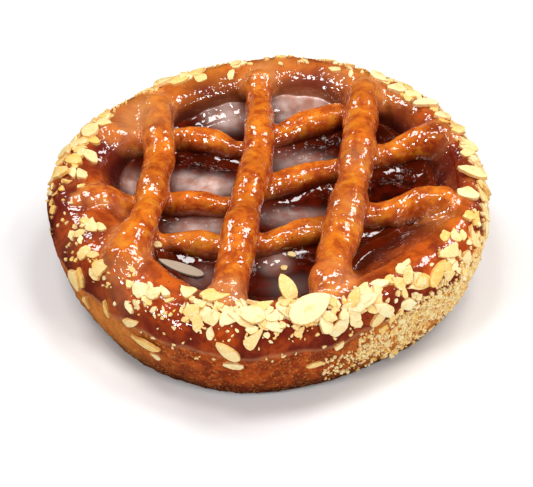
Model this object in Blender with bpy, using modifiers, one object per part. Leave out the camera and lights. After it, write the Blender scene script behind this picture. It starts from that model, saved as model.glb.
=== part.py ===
"""A linzer tartlet: a pastry case of jam under a lattice of dough rolls, with flaked almonds on its rim.

Metres, +Z up. The origin is the middle of the flat base, and +Y is the back. The three long rolls run from
back to front, over the three cross rolls.
"""

import math
import random

import bmesh
import bpy
import numpy as np
from mathutils import Matrix, Vector

# Driving sizes of the case, as radii and heights of its turned outline
WIDEST_RADIUS = 0.0500
WIDEST_HEIGHT = 0.0175
BASE_RADIUS = 0.0456
CREST_RADIUS = 0.0428
CREST_HEIGHT = 0.0255
WELL_LIP_RADIUS = 0.0390
WELL_LIP_HEIGHT = 0.0232
WELL_FLOOR_RADIUS = 0.0330
WELL_FLOOR_HEIGHT = 0.0095
LIP_TURN_RADIUS = 0.0406
LIP_TURN_HEIGHT = 0.0248
BASE_CORNER = 0.0012
SHOULDER_POWER = 0.9
SIDE_BULGE = 0.0006
# The crest and the well aren't round: radii of the crest, the lip and the jam's edge at some angles in degrees.
# The rim is broad at the back and thin at the right, and the well's side slopes gently at both front corners.
WELL_FORM = (
    (-160, 0.0420, 0.0365, 0.0290),
    (-137, 0.0420, 0.0372, 0.0312),
    (-124, 0.0422, 0.0388, 0.0345),
    (-108, 0.0425, 0.0404, 0.0362),
    (-75, 0.0425, 0.0400, 0.0355),
    (-42, 0.0430, 0.0375, 0.0250),
    (-15, 0.0450, 0.0425, 0.0330),
    (5, 0.0460, 0.0442, 0.0385),
    (40, 0.0448, 0.0418, 0.0385),
    (78, 0.0436, 0.0378, 0.0362),
    (113, 0.0430, 0.0372, 0.0356),
    (145, 0.0426, 0.0360, 0.0340),
    (170, 0.0430, 0.0395, 0.0358),
)
FORM_SMOOTHING = 8
# The place across the rim, counted inwards from the crest, at which the well's lip lies
INNER_PLACE = 0.2

JAM_HEIGHT = 0.0172
JAM_EDGE_RADIUS = 0.0360
GAP = 0.0003
JAM_CLEARANCE = GAP * 1.5

# The lattice: radii of each roll at its first and its last end, and of a cross roll where a long one presses it
LONG_RADII = ((0.0033, 0.0036), (0.0032, 0.0039), (0.0037, 0.0041))
CROSS_RADII = ((0.0029, 0.0035), (0.0030, 0.0034), (0.0029, 0.0034))
PRESSED_RADIUS = 0.0021
LONG_LOW_HEIGHT = 0.0228
LONG_HUMP = 0.0019
CROSS_LOW_HEIGHT = 0.0202
CROSS_DIP = 0.0019
CROSSING_REACH = 0.0064
CLIMB_START_RADIUS = 0.0300
CLIMB_END_RADIUS = 0.0420
ROLL_SINK_AT_RIM = 0.0010
END_DOME_TURNS = (20, 45, 70)
ROLL_STEP = 0.0028
PLAN_STEP = 0.0010
ROLL_SIDES_RESOLUTION = 2
SAMPLES_A_SPAN = 12

# Plan routes of the rolls: long ones from back to front, listed from the left, and cross ones from left to
# right, listed from the back
LONG_ROUTES = (
    ((-0.0274, 0.0313), (-0.0267, 0.0190), (-0.0262, 0.0040), (-0.0281, -0.0150), (-0.0334, -0.0325)),
    ((-0.0028, 0.0410), (-0.0023, 0.0240), (-0.0033, 0.0060), (-0.0062, -0.0160), (-0.0094, -0.0415)),
    ((0.0236, 0.0352), (0.0213, 0.0190), (0.0197, 0.0030), (0.0158, -0.0200), (0.0122, -0.0400)),
)
CROSS_ROUTES = (
    ((-0.0395, 0.0150), (-0.0300, 0.0184), (-0.0212, 0.0210), (-0.0140, 0.0192), (-0.0065, 0.0168),
     (0.0013, 0.0212), (0.0086, 0.0258), (0.0188, 0.0307)),
    ((-0.0430, -0.0090), (-0.0318, -0.0044), (-0.0181, -0.0032), (-0.0091, -0.0042), (0.0006, 0.0024),
     (0.0149, 0.0090), (0.0310, 0.0155), (0.0428, 0.0158)),
    ((-0.0318, -0.0172), (-0.0233, -0.0168), (-0.0120, -0.0184), (-0.0015, -0.0180), (0.0119, -0.0120),
     (0.0290, -0.0066), (0.0424, -0.0072)),
)

# How far the baked outline strays from a circle, as (count, share of the radius, angle of a top in degrees)
# of each wave round it, and the same for the crest's height, in metres
OUTLINE_WAVES = ((2, 0.0258, 36), (3, 0.0024, 34), (4, 0.0095, -15), (5, 0.0100, 43))
CREST_WAVES = ((2, 0.00035, 20), (3, 0.00040, 75), (5, 0.00030, 10))

CASE_STEPS = 66
TURN_MERGE = 0.00005
SHOULDER_POINTS = 7
SIDE_POINTS = 4

# Almond flakes on each arc of the rim: its two angles in degrees from +X, how many, and their places across
# the rim. Place 0 is the crest, 0.5 the widest line and 1 the base, and a place below 0 is inside the crest.
ALMOND_ARCS = (
    (-128, -112, 4, 0.05, 0.50),
    (-112, -86, 28, -0.05, 0.36),
    (-86, -62, 23, -0.03, 0.40),
    (-62, -30, 20, -0.02, 0.62),
    (-30, 5, 16, 0.00, 0.60),
    (5, 40, 9, -0.04, 0.45),
    (40, 70, 10, -0.10, 0.25),
    (78, 102, 4, -0.04, 0.16),
    (112, 132, 6, -0.08, 0.22),
    (146, 182, 14, -0.08, 0.40),
    (182, 232, 9, -0.02, 0.50),
)
ALMOND_LENGTHS = (0.0028, 0.0058)
ALMOND_WIDTH_SHARES = (0.50, 0.85)
ALMOND_THICKNESS = 0.0009
ALMOND_SUNK = 0.45
ALMOND_TILT = 16
ALMOND_CORNERS = 6
ALMOND_CORNER_STRAY = 0.25
ALMOND_CORNER_REACH = (0.82, 1.12)
ALMOND_DENSEST = 0.4
ALMOND_SEED = 7
SHARP_ANGLE = 35
# Larger slices, set one by one: angle in degrees, place, length, width, and turn from the rim's line
LARGE_SLICES = (
    (-79, 0.12, 0.0105, 0.0062, 22),
    (-85, -0.07, 0.0064, 0.0040, 105),
    (-92, 0.02, 0.0056, 0.0038, 28),
    (-106, 0.01, 0.0066, 0.0036, 17),
    (-101, 0.17, 0.0056, 0.0042, 5),
    (-95, 0.12, 0.0070, 0.0046, 165),
    (-94, 0.34, 0.0056, 0.0044, 45),
    (-114, 0.02, 0.0044, 0.0038, 165),
    (-122, 0.15, 0.0040, 0.0032, 60),
    (-100, 0.46, 0.0066, 0.0028, 140),
    (-99, 0.62, 0.0050, 0.0022, 170),
    (-122, 0.60, 0.0080, 0.0026, 172),
    (-65, 0.20, 0.0088, 0.0036, 7),
    (-72, 0.36, 0.0060, 0.0034, 34),
    (-59, 0.35, 0.0068, 0.0032, 135),
    (-33, 0.18, 0.0078, 0.0032, 160),
    (-40, 0.28, 0.0072, 0.0032, 30),
    (-9, 0.00, 0.0062, 0.0046, 60),
    (0, 0.05, 0.0076, 0.0036, 85),
    (35, 0.02, 0.0066, 0.0040, 60),
    (41, 0.00, 0.0056, 0.0036, 120),
    (48, 0.03, 0.0062, 0.0042, 20),
    (54, 0.06, 0.0070, 0.0040, 170),
    (66, 0.16, 0.0050, 0.0034, 90),
    (115, 0.06, 0.0054, 0.0034, 10),
    (121, 0.03, 0.0060, 0.0040, 160),
    (125, 0.12, 0.0066, 0.0044, 20),
    (155, 0.02, 0.0044, 0.0034, 90),
    (160, 0.08, 0.0066, 0.0048, 30),
    (166, 0.12, 0.0060, 0.0044, 100),
    (168, 0.24, 0.0066, 0.0046, 40),
    (171, -0.02, 0.0060, 0.0044, 120),
    (177, 0.21, 0.0070, 0.0046, 60),
    (-148, 0.49, 0.0066, 0.0050, 80),
    (-145, 0.64, 0.0050, 0.0034, 70),
    (-140, 0.22, 0.0056, 0.0034, 72),
)
LARGE_SLICE_TILT = 3
# One long slice lies on the jam: its middle, length, width and turn from +X in degrees
JAM_SLICE = (-0.0172, -0.0243, 0.0085, 0.0028, -18)


def waves(angle, terms):
    """The sum of some waves round the tartlet, at an angle in radians."""
    return sum(size * np.cos(count * (angle - math.radians(top))) for count, size, top in terms)


def well_side():
    """The outline's points up the well's side, from its floor to just inside the crest."""
    return [
        (WELL_FLOOR_RADIUS, WELL_FLOOR_HEIGHT),
        (JAM_EDGE_RADIUS, JAM_HEIGHT),
        (WELL_LIP_RADIUS, WELL_LIP_HEIGHT),
        (LIP_TURN_RADIUS, LIP_TURN_HEIGHT),
    ]


def shoulder():
    """The outline's points from the crest to the widest line."""
    return [outline_at(0.5 * i / SHOULDER_POINTS) for i in range(SHOULDER_POINTS + 1)]


def rim_height(radius):
    """The height of the well's side, the rim and the shoulder at a radius."""
    radii, heights = zip(*well_side(), *shoulder())
    return np.interp(radius, radii, heights)


def outline_at(place):
    """(radius, height) at a place across the rim: 0 on the crest, 0.5 on the widest line, 1 on the base."""
    if place < 0:
        radius = CREST_RADIUS + (CREST_RADIUS - WELL_LIP_RADIUS) * place / INNER_PLACE
        return radius, float(rim_height(radius))
    if place <= 0.5:
        turn = place * math.pi
        radius = CREST_RADIUS + (WIDEST_RADIUS - CREST_RADIUS) * math.sin(turn) ** SHOULDER_POWER
        height = WIDEST_HEIGHT + (CREST_HEIGHT - WIDEST_HEIGHT) * math.cos(turn) ** SHOULDER_POWER
        return radius, height
    down = (place - 0.5) * 2
    bulge = SIDE_BULGE * math.sin(math.pi * down)
    return WIDEST_RADIUS + (BASE_RADIUS - WIDEST_RADIUS) * down + bulge, WIDEST_HEIGHT * (1 - down)


def well_radii(angle):
    """Radii of the crest, the lip and the jam's edge at angles in radians, smoothed round the tartlet."""
    degrees = np.arange(360)
    spread = np.exp(-0.5 * (((degrees + 180) % 360 - 180) / FORM_SMOOTHING) ** 2)
    angles, *columns = zip(*WELL_FORM)
    radii = []
    for column in columns:
        coarse = np.interp(degrees, angles, column, period=360)
        smooth = np.fft.ifft(np.fft.fft(coarse) * np.fft.fft(spread / spread.sum())).real
        radii.append(np.interp(np.degrees(angle), degrees, smooth, period=360))
    return radii


def radius_knots(angle):
    """Matching radii of the perfectly round tartlet and of the baked one, from the middle outwards."""
    crest, lip, foot = well_radii(angle)
    turn_share = (LIP_TURN_RADIUS - WELL_LIP_RADIUS) / (CREST_RADIUS - WELL_LIP_RADIUS)
    floor = foot * WELL_FLOOR_RADIUS / JAM_EDGE_RADIUS
    widest = WIDEST_RADIUS * (1 + waves(angle, OUTLINE_WAVES))
    turn = lip + (crest - lip) * turn_share
    flat = [0, WELL_FLOOR_RADIUS, JAM_EDGE_RADIUS, WELL_LIP_RADIUS, LIP_TURN_RADIUS, CREST_RADIUS, WIDEST_RADIUS]
    return [np.full_like(crest, radius) for radius in flat], [0 * floor, floor, foot, lip, turn, crest, widest]


def moved_between(values, knots, targets):
    """Values moved as the knots move to their targets, in proportion between two knots and beyond the last."""
    moved = values * targets[-1] / knots[-1]
    for a, b, start, end in reversed(list(zip(knots, knots[1:], targets, targets[1:]))):
        moved = np.where(values < b, start + (values - a) / (b - a) * (end - start), moved)
    return moved


def uneven(points):
    """Points of a perfectly round tartlet, moved to the baked outline and to the rim's uneven height."""
    points = np.asarray(points, float)
    angle = np.arctan2(points[:, 1], points[:, 0])
    radius = np.hypot(points[:, 0], points[:, 1])
    baked = moved_between(radius, *radius_knots(angle))
    side = (radius > CREST_RADIUS) & (points[:, 2] <= WIDEST_HEIGHT) | (points[:, 2] <= BASE_CORNER)
    baked = np.where(side, radius * (1 + waves(angle, OUTLINE_WAVES)), baked)
    above = np.clip((points[:, 2] - JAM_HEIGHT) / (CREST_HEIGHT - JAM_HEIGHT), 0, None)
    rise = waves(angle, CREST_WAVES) * above
    return np.column_stack([baked * np.cos(angle), baked * np.sin(angle), points[:, 2] + rise])


def round_radius(plan):
    """The radius that plan points would have on a perfectly round tartlet."""
    angle = np.arctan2(plan[:, 1], plan[:, 0])
    knots, targets = radius_knots(angle)
    return moved_between(np.hypot(plan[:, 0], plan[:, 1]), targets, knots)


def collection(name, shown=True):
    made = bpy.data.collections.new(name)
    bpy.context.scene.collection.children.link(made)
    made.hide_render = not shown
    return made


def material(name, colour, roughness):
    made = bpy.data.materials.new(name)
    made.use_nodes = True
    surface = made.node_tree.nodes["Principled BSDF"]
    surface.inputs["Base Color"].default_value = (*colour, 1)
    surface.inputs["Roughness"].default_value = roughness
    surface.inputs["Metallic"].default_value = 0
    return made


def object_from(name, mesh, home):
    made = bpy.data.objects.new(name, mesh)
    home.objects.link(made)
    return made


def turned(name, outline, home):
    """A closed turned mesh from an outline that starts and ends on the axis, then made uneven."""
    mesh = bpy.data.meshes.new(name)
    mesh.from_pydata([(r, 0, z) for r, z in outline], [(i, i + 1) for i in range(len(outline) - 1)], [])
    lathe = object_from(name, mesh, home)
    screw = lathe.modifiers.new("turn", "SCREW")
    screw.steps = screw.render_steps = CASE_STEPS
    screw.use_merge_vertices = True
    screw.merge_threshold = TURN_MERGE
    applied(lathe)
    flat = np.empty(len(lathe.data.vertices) * 3)
    lathe.data.vertices.foreach_get("co", flat)
    lathe.data.vertices.foreach_set("co", uneven(flat.reshape(-1, 3)).ravel())
    lathe.data.update()
    return lathe


def applied(made):
    """Replaces an object's mesh by what its modifiers make of it."""
    bpy.context.view_layer.update()
    graph = bpy.context.evaluated_depsgraph_get()
    mesh = bpy.data.meshes.new_from_object(made.evaluated_get(graph))
    made.modifiers.clear()
    made.data = mesh
    return made


def case_outline():
    """The case's outline from the middle of the well, over the rim and down to the middle of the base."""
    side = [outline_at(0.5 + 0.5 * i / SIDE_POINTS) for i in range(1, SIDE_POINTS)]
    corner = [(BASE_RADIUS, BASE_CORNER), (BASE_RADIUS - BASE_CORNER, 0)]
    return [(0, WELL_FLOOR_HEIGHT), *well_side(), *shoulder(), *side, *corner, (0, 0)]


def jam_outline():
    """The filling, from the middle of its top to the middle of its bottom, clear of the well all round."""
    floor = WELL_FLOOR_HEIGHT + GAP
    return [
        (0, JAM_HEIGHT),
        (JAM_EDGE_RADIUS - JAM_CLEARANCE, JAM_HEIGHT),
        (WELL_FLOOR_RADIUS - JAM_CLEARANCE, floor),
        (0, floor),
    ]


def smooth_route(route):
    """Evenly spaced points on a Catmull-Rom curve through a route's points."""
    knots = np.array([2 * np.array(route[0]) - route[1], *route, 2 * np.array(route[-1]) - route[-2]])
    fine = []
    for a, b, c, d in zip(knots, knots[1:], knots[2:], knots[3:]):
        for t in np.linspace(0, 1, SAMPLES_A_SPAN, endpoint=False):
            bend = (2 * a - 5 * b + 4 * c - d) * t**2 + (3 * b - a - 3 * c + d) * t**3
            fine.append(b + 0.5 * ((c - a) * t + bend))
    fine = np.array([*fine, route[-1]])
    along = np.concatenate([[0], np.cumsum(np.linalg.norm(np.diff(fine, axis=0), axis=1))])
    even = np.linspace(0, along[-1], round(along[-1] / PLAN_STEP) + 1)
    return np.column_stack([np.interp(even, along, fine[:, i]) for i in range(2)])


def crossing_share(points, others):
    """How much each point lies at a crossing with other routes: 1 on it, falling to 0 away from it."""
    others = np.concatenate(others)
    nearest = np.linalg.norm(points[:, None] - others[None], axis=2).min(axis=1)
    return np.exp(-((nearest / CROSSING_REACH) ** 2))


def roll_points(plan, low_height, crossing_rise, end_radii, others):
    """The centre line of a roll and its radius at each point, from its plan. Others press it if it dips."""
    share = crossing_share(plan, others)
    from_middle = round_radius(plan)
    radii = np.linspace(*end_radii, len(plan))
    if crossing_rise < 0:
        radii = radii + (PRESSED_RADIUS - radii) * share
    heights = low_height + crossing_rise * share
    on_rim = CREST_HEIGHT + waves(np.arctan2(plan[:, 1], plan[:, 0]), CREST_WAVES) - ROLL_SINK_AT_RIM
    climb = np.clip((from_middle - CLIMB_START_RADIUS) / (CLIMB_END_RADIUS - CLIMB_START_RADIUS), 0, 1)
    climb = climb**2 * (3 - 2 * climb)
    if crossing_rise < 0:
        climb = climb * (1 - share) ** 2
    heights = heights + (on_rim - heights) * climb
    return np.column_stack([plan, heights]), radii


def domed_ends(points, radii):
    """A roll's points and radii, sampled again so that both ends close in a dome."""
    along = np.concatenate([[0], np.cumsum(np.linalg.norm(np.diff(points, axis=0), axis=1))])
    first, last = radii[0], radii[-1]
    turns = np.radians(END_DOME_TURNS)
    dome = 1 - np.cos(turns)
    middle = np.linspace(first, along[-1] - last, round(along[-1] / ROLL_STEP))
    places = np.concatenate([dome * first, middle, along[-1] - dome[::-1] * last])
    shares = np.concatenate([np.sin(turns), np.ones(len(middle)), np.sin(turns)[::-1]])
    sampled = np.column_stack([np.interp(places, along, points[:, i]) for i in range(3)])
    return sampled, np.interp(places, along, radii) * shares


def lengthened(points, extra):
    """A roll's points with both ends moved outwards along it."""
    longer = points.copy()
    for end, beside in ((0, 1), (-1, -2)):
        step = points[end] - points[beside]
        longer[end] += step / np.linalg.norm(step) * extra
    return longer


def roll(name, points, radii, home, extra=0.0):
    """A roll of dough, larger all round by extra, as a closed mesh: a bevelled curve, welded at its caps."""
    curve = bpy.data.curves.new(name, "CURVE")
    curve.dimensions = "3D"
    curve.bevel_depth = 1
    curve.bevel_resolution = ROLL_SIDES_RESOLUTION
    curve.use_fill_caps = True
    spline = curve.splines.new("POLY")
    spline.points.add(len(points) - 1)
    for point, place, radius in zip(spline.points, lengthened(points, extra), radii):
        point.co = (*place, 1)
        point.radius = radius + extra
    guide = object_from(name, curve, home)
    bpy.context.view_layer.update()
    mesh = bpy.data.meshes.new_from_object(guide.evaluated_get(bpy.context.evaluated_depsgraph_get()))
    bpy.data.objects.remove(guide)
    weld(mesh)
    mesh.name = name
    return object_from(name, mesh, home)


def weld(mesh):
    work = bmesh.new()
    work.from_mesh(mesh)
    bmesh.ops.remove_doubles(work, verts=work.verts, dist=0.00001)
    bmesh.ops.recalc_face_normals(work, faces=work.faces)
    work.to_mesh(mesh)
    work.free()


def lattice_rolls():
    """(name, points, radii) of each roll of the lattice."""
    longs = [smooth_route(route) for route in LONG_ROUTES]
    crosses = [smooth_route(route) for route in CROSS_ROUTES]
    rolls = []
    for number, (plan, ends) in enumerate(zip(longs, LONG_RADII), 1):
        points, radii = roll_points(plan, LONG_LOW_HEIGHT, LONG_HUMP, ends, crosses)
        rolls.append((f"long_roll_{number}", *domed_ends(points, radii)))
    for number, (plan, ends) in enumerate(zip(crosses, CROSS_RADII), 1):
        points, radii = roll_points(plan, CROSS_LOW_HEIGHT, -CROSS_DIP, ends, longs)
        rolls.append((f"cross_roll_{number}", *domed_ends(points, radii)))
    return rolls


def boolean(target, operation, others, solver="EXACT"):
    """Cuts or joins a collection's objects into the target, applies it and removes them."""
    step = target.modifiers.new(operation.lower(), "BOOLEAN")
    step.operation = operation
    step.operand_type = "COLLECTION"
    step.collection = others
    step.solver = solver
    applied(target)
    for other in list(others.objects):
        bpy.data.objects.remove(other)
    bpy.data.collections.remove(others)


def keep_largest_piece(mesh):
    """Drops loose scraps, and the walls of hollows that joined flakes seal."""
    work = bmesh.new()
    work.from_mesh(mesh)
    left = set(work.verts)
    pieces = []
    while left:
        piece = {left.pop()}
        edge_of_piece = set(piece)
        while edge_of_piece:
            touching = {edge.other_vert(corner) for corner in edge_of_piece for edge in corner.link_edges}
            edge_of_piece = touching & left
            left -= edge_of_piece
            piece |= edge_of_piece
        pieces.append(piece)
    pieces.sort(key=len)
    for piece in pieces[:-1]:
        bmesh.ops.delete(work, geom=list(piece), context="VERTS")
    work.to_mesh(mesh)
    work.free()


def surface_frame(angle, place):
    """A point on the case's outside, and its unit directions along the rim and outwards."""
    def at(turn, where):
        radius, height = outline_at(where)
        return uneven([(radius * math.cos(turn), radius * math.sin(turn), height)])[0]

    nudge = 0.004
    along = Vector(at(angle + nudge, place) - at(angle - nudge, place)).normalized()
    down = Vector(at(angle, min(place + nudge, 1)) - at(angle, max(place - nudge, 0))).normalized()
    return Vector(at(angle, place)), along, down.cross(along).normalized()


def flake(name, place_on, size, turn, tilt, rng, home):
    """A thin, broken-edged almond flake, partly sunk in what it lies on."""
    point, along, outward = place_on
    length, width = size
    work = bmesh.new()
    top = []
    for i in range(ALMOND_CORNERS):
        around = 2 * math.pi * (i + rng.uniform(-ALMOND_CORNER_STRAY, ALMOND_CORNER_STRAY)) / ALMOND_CORNERS
        reach = 0.5 * rng.uniform(*ALMOND_CORNER_REACH)
        top.append(work.verts.new((length * reach * math.cos(around), width * reach * math.sin(around), 0)))
    work.faces.new(top)
    grown = bmesh.ops.extrude_face_region(work, geom=work.faces[:])["geom"]
    for corner in grown:
        if isinstance(corner, bmesh.types.BMVert):
            corner.co = (corner.co.x, corner.co.y, -ALMOND_THICKNESS)
    bmesh.ops.recalc_face_normals(work, faces=work.faces)
    mesh = bpy.data.meshes.new(name)
    work.to_mesh(mesh)
    work.free()
    basis = Matrix((along, outward.cross(along), outward)).transposed().to_4x4()
    lean = Matrix.Rotation(tilt[0], 4, "X") @ Matrix.Rotation(tilt[1], 4, "Y")
    lift = Matrix.Translation((0, 0, ALMOND_THICKNESS * (1 - ALMOND_SUNK)))
    mesh.transform(Matrix.Translation(point) @ basis @ lean @ lift @ Matrix.Rotation(turn, 4, "Z"))
    return object_from(name, mesh, home)


def clear_of_rolls(place_on, size, turn, rolls):
    """Whether a flake of this size and turn stays clear of every roll, tried at its middle and its two ends."""
    point, along, outward = place_on
    length, width = size
    way = along * math.cos(turn) + outward.cross(along) * math.sin(turn)
    for reach in (-1, 0, 1):
        spot = np.array(point + way * reach * (length - width) / 2)
        room = min(np.min(np.linalg.norm(points - spot, axis=1) - radii) for _, points, radii in rolls)
        if room < width / 2 * ALMOND_CORNER_REACH[1] + 3 * GAP:
            return False
    return True


def almond_plan(rolls):
    """(angle, place, size, turn, tilt) of each flake that is fused to the case."""
    rng = random.Random(ALMOND_SEED)
    plan = []
    little, lean = math.radians(LARGE_SLICE_TILT), math.radians(ALMOND_TILT)
    for angle, place, length, width, turn in LARGE_SLICES:
        plan.append((math.radians(angle), place, (length, width), math.radians(turn), (little, 0)))
    for start, end, count, high, low in ALMOND_ARCS:
        for _ in range(count):
            angle = math.radians(rng.uniform(start, end))
            place = rng.triangular(high, low, high + ALMOND_DENSEST * (low - high))
            length = rng.uniform(*ALMOND_LENGTHS)
            size = (length, length * rng.uniform(*ALMOND_WIDTH_SHARES))
            tilt = (rng.uniform(-lean, lean), rng.uniform(-lean, lean))
            plan.append((angle, place, size, rng.uniform(0, math.pi), tilt))
    kept = []
    for entry in plan:
        angle, place, size, turn = entry[:4]
        if clear_of_rolls(surface_frame(angle, place), size, turn, rolls):
            kept.append(entry)
    return kept


def build_case(rolls, home, dough):
    case = turned("pastry_case", case_outline(), home)
    seats = collection("seats", shown=False)
    for name, points, radii in rolls:
        roll(f"seat_{name}", points, radii, seats, extra=GAP)
    boolean(case, "DIFFERENCE", seats)
    flakes = collection("flakes", shown=False)
    rng = random.Random(ALMOND_SEED + 1)
    for number, (angle, place, size, turn, tilt) in enumerate(almond_plan(rolls)):
        flake(f"flake_{number}", surface_frame(angle, place), size, turn, tilt, rng, flakes)
    boolean(case, "UNION", flakes, solver="MANIFOLD")
    keep_largest_piece(case.data)
    case.data.materials.clear()
    case.data.materials.append(dough)
    case.data.shade_smooth()
    case.data.set_sharp_from_angle(angle=math.radians(SHARP_ANGLE))


def build_jam(rolls, home, jam):
    filling = turned("jam_filling", jam_outline(), home)
    seats = collection("jam_seats", shown=False)
    for name, points, radii in rolls:
        roll(f"jam_seat_{name}", points, radii, seats, extra=GAP)
    boolean(filling, "DIFFERENCE", seats)
    slices = collection("jam_slices", shown=False)
    x, y, length, width, turn = JAM_SLICE
    place_on = (Vector((x, y, JAM_HEIGHT)), Vector((1, 0, 0)), Vector((0, 0, 1)))
    rng = random.Random(ALMOND_SEED + 2)
    flake("jam_slice", place_on, (length, width), math.radians(turn), (0, 0), rng, slices)
    boolean(filling, "UNION", slices)
    filling.data.materials.clear()
    filling.data.materials.append(jam)


def build_lattice(rolls, home, crust):
    for name, points, radii in rolls:
        made = roll(name, points, radii, home)
        made.data.materials.clear()
        made.data.materials.append(crust)
        made.data.shade_smooth()


def main():
    for old in list(bpy.data.objects):
        bpy.data.objects.remove(old)
    home = collection("linzer_tartlet")
    rolls = lattice_rolls()
    build_case(rolls, home, material("glazed_pastry", (0.45, 0.13, 0.03), 0.35))
    build_jam(rolls, home, material("jam", (0.12, 0.01, 0.01), 0.12))
    build_lattice(rolls, home, material("lattice_dough", (0.62, 0.22, 0.04), 0.3))


main()
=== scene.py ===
"""The looks of the linzer tartlet: its glazed crust, lattice, jam, milky icing and flaked almonds.

Metres, +Z up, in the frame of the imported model, with +Y towards the back. The crust and the lattice are
surfaces of one field of distances, so that the glaze runs over both without a seam.
"""

import itertools
import math
import random

import bpy
import numpy as np
from mathutils import Matrix, Vector
from mathutils.bvhtree import BVHTree


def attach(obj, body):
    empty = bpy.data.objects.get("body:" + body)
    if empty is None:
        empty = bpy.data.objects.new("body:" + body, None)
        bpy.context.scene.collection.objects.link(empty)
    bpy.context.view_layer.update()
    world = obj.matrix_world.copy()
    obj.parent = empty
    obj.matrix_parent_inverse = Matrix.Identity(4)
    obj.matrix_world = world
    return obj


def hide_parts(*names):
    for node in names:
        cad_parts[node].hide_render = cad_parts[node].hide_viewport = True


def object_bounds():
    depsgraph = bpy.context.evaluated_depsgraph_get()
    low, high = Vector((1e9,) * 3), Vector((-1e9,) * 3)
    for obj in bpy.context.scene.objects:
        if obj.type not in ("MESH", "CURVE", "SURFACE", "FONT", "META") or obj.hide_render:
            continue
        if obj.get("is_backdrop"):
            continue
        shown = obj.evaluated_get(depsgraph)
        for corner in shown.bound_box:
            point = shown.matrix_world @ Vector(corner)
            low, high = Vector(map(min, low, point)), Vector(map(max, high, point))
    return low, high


# Lengths are in metres, apart from the tables whose comment says that theirs are in millimetres
MM = 0.001

# The camera: height angle, distance from its target, and focal length for a 36 mm sensor
CAMERA_ELEVATION = math.radians(41)
CAMERA_DISTANCE = 0.480
CAMERA_TARGET = (-0.0007, 0.0055, 0)
CAMERA_LENS = 134.86
SENSOR_WIDTH = 36

# Sizes of the case, as radii and heights of its turned outline
WIDEST_RADIUS = 0.0500
WIDEST_HEIGHT = 0.0175
BASE_RADIUS = 0.0456
CREST_RADIUS = 0.0428
CREST_HEIGHT = 0.0255
WELL_LIP_RADIUS = 0.0390
WELL_LIP_HEIGHT = 0.0232
WELL_FLOOR_RADIUS = 0.0330
WELL_FLOOR_HEIGHT = 0.0095
LIP_TURN_RADIUS = 0.0406
LIP_TURN_HEIGHT = 0.0248
BASE_CORNER = 0.0012
SHOULDER_POWER = 0.9
SIDE_BULGE = 0.0006
INNER_PLACE = 0.2
# Radii of the crest, the lip and the jam's edge at some angles in degrees
WELL_FORM = (
    (-160, 0.042, 0.0365, 0.029), (-137, 0.042, 0.0372, 0.0312), (-124, 0.0422, 0.0388, 0.0345),
    (-108, 0.0425, 0.0404, 0.0362), (-75, 0.0425, 0.04, 0.0355), (-42, 0.043, 0.0375, 0.025),
    (-15, 0.045, 0.0425, 0.033), (5, 0.046, 0.0442, 0.0385), (40, 0.0448, 0.0418, 0.0385),
    (78, 0.0436, 0.0378, 0.0362), (113, 0.043, 0.0372, 0.0356), (145, 0.0426, 0.036, 0.034),
    (170, 0.043, 0.0395, 0.0358),
)
FORM_SMOOTHING = 8
# The jam's level, and the waves of the outline and of the crest: count round the tartlet, size, and angle
JAM_HEIGHT = 0.0172
JAM_EDGE_RADIUS = 0.0360
OUTLINE_WAVES = ((2, 0.0258, 36), (3, 0.0024, 34), (4, 0.0095, -15), (5, 0.0100, 43))
CREST_WAVES = ((2, 0.00035, 20), (3, 0.00040, 75), (5, 0.00030, 10))
SHOULDER_POINTS = 7
SIDE_POINTS = 4

# The lattice, as the CAD solids have it
LONG_RADII = ((0.0033, 0.0036), (0.0032, 0.0039), (0.0037, 0.0041))
CROSS_RADII = ((0.0029, 0.0035), (0.0030, 0.0034), (0.0029, 0.0034))
PRESSED_RADIUS = 0.0021
LONG_LOW_HEIGHT = 0.0228
LONG_HUMP = 0.0019
CROSS_LOW_HEIGHT = 0.0202
CROSS_DIP = 0.0019
CROSSING_REACH = 0.0064
CLIMB_START_RADIUS = 0.0300
CLIMB_END_RADIUS = 0.0420
ROLL_SINK_AT_RIM = 0.0010
END_DOME_TURNS = (20, 45, 70)
ROLL_STEP = 0.0028
PLAN_STEP = 0.0010
SAMPLES_A_SPAN = 12
LONG_ROUTES = (
    ((-0.0274, 0.0313), (-0.0267, 0.0190), (-0.0262, 0.0040), (-0.0281, -0.0150), (-0.0334, -0.0325)),
    ((-0.0028, 0.0410), (-0.0023, 0.0240), (-0.0033, 0.0060), (-0.0062, -0.0160), (-0.0094, -0.0415)),
    ((0.0236, 0.0352), (0.0213, 0.0190), (0.0197, 0.0030), (0.0158, -0.0200), (0.0122, -0.0400)),
)
CROSS_ROUTES = (
    ((-0.0395, 0.0150), (-0.0300, 0.0184), (-0.0212, 0.0210), (-0.0140, 0.0192), (-0.0065, 0.0168),
     (0.0013, 0.0212), (0.0086, 0.0258), (0.0188, 0.0307)),
    ((-0.0430, -0.0090), (-0.0318, -0.0044), (-0.0181, -0.0032), (-0.0091, -0.0042), (0.0006, 0.0024),
     (0.0149, 0.0090), (0.0310, 0.0155), (0.0428, 0.0158)),
    ((-0.0318, -0.0172), (-0.0233, -0.0168), (-0.0120, -0.0184), (-0.0015, -0.0180), (0.0119, -0.0120),
     (0.0290, -0.0066), (0.0424, -0.0072)),
)

# Steps of the lattice's grid, of the turned mesh of the case, along outlines, and for slopes
NET_STEP = 0.00041
CASE_TURNS = 660
CASE_STEP = 0.00044
COARSE_RINGS = 8
OUTLINE_STEP = 0.0002
SLOPE_STEP = 0.0001

# How far glaze and baking round the hollows: between two rolls, and between the rolls and the case
ROLL_BLEND = 0.0038
RIM_BLEND = 0.0034
# The fillets on the case: how far their edge sinks into it, how deep they go, and how far from the rolls
SKIN_SINK = 0.00012
SKIN_DEPTH = 0.0009
SKIN_REACH = 0.0030

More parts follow.
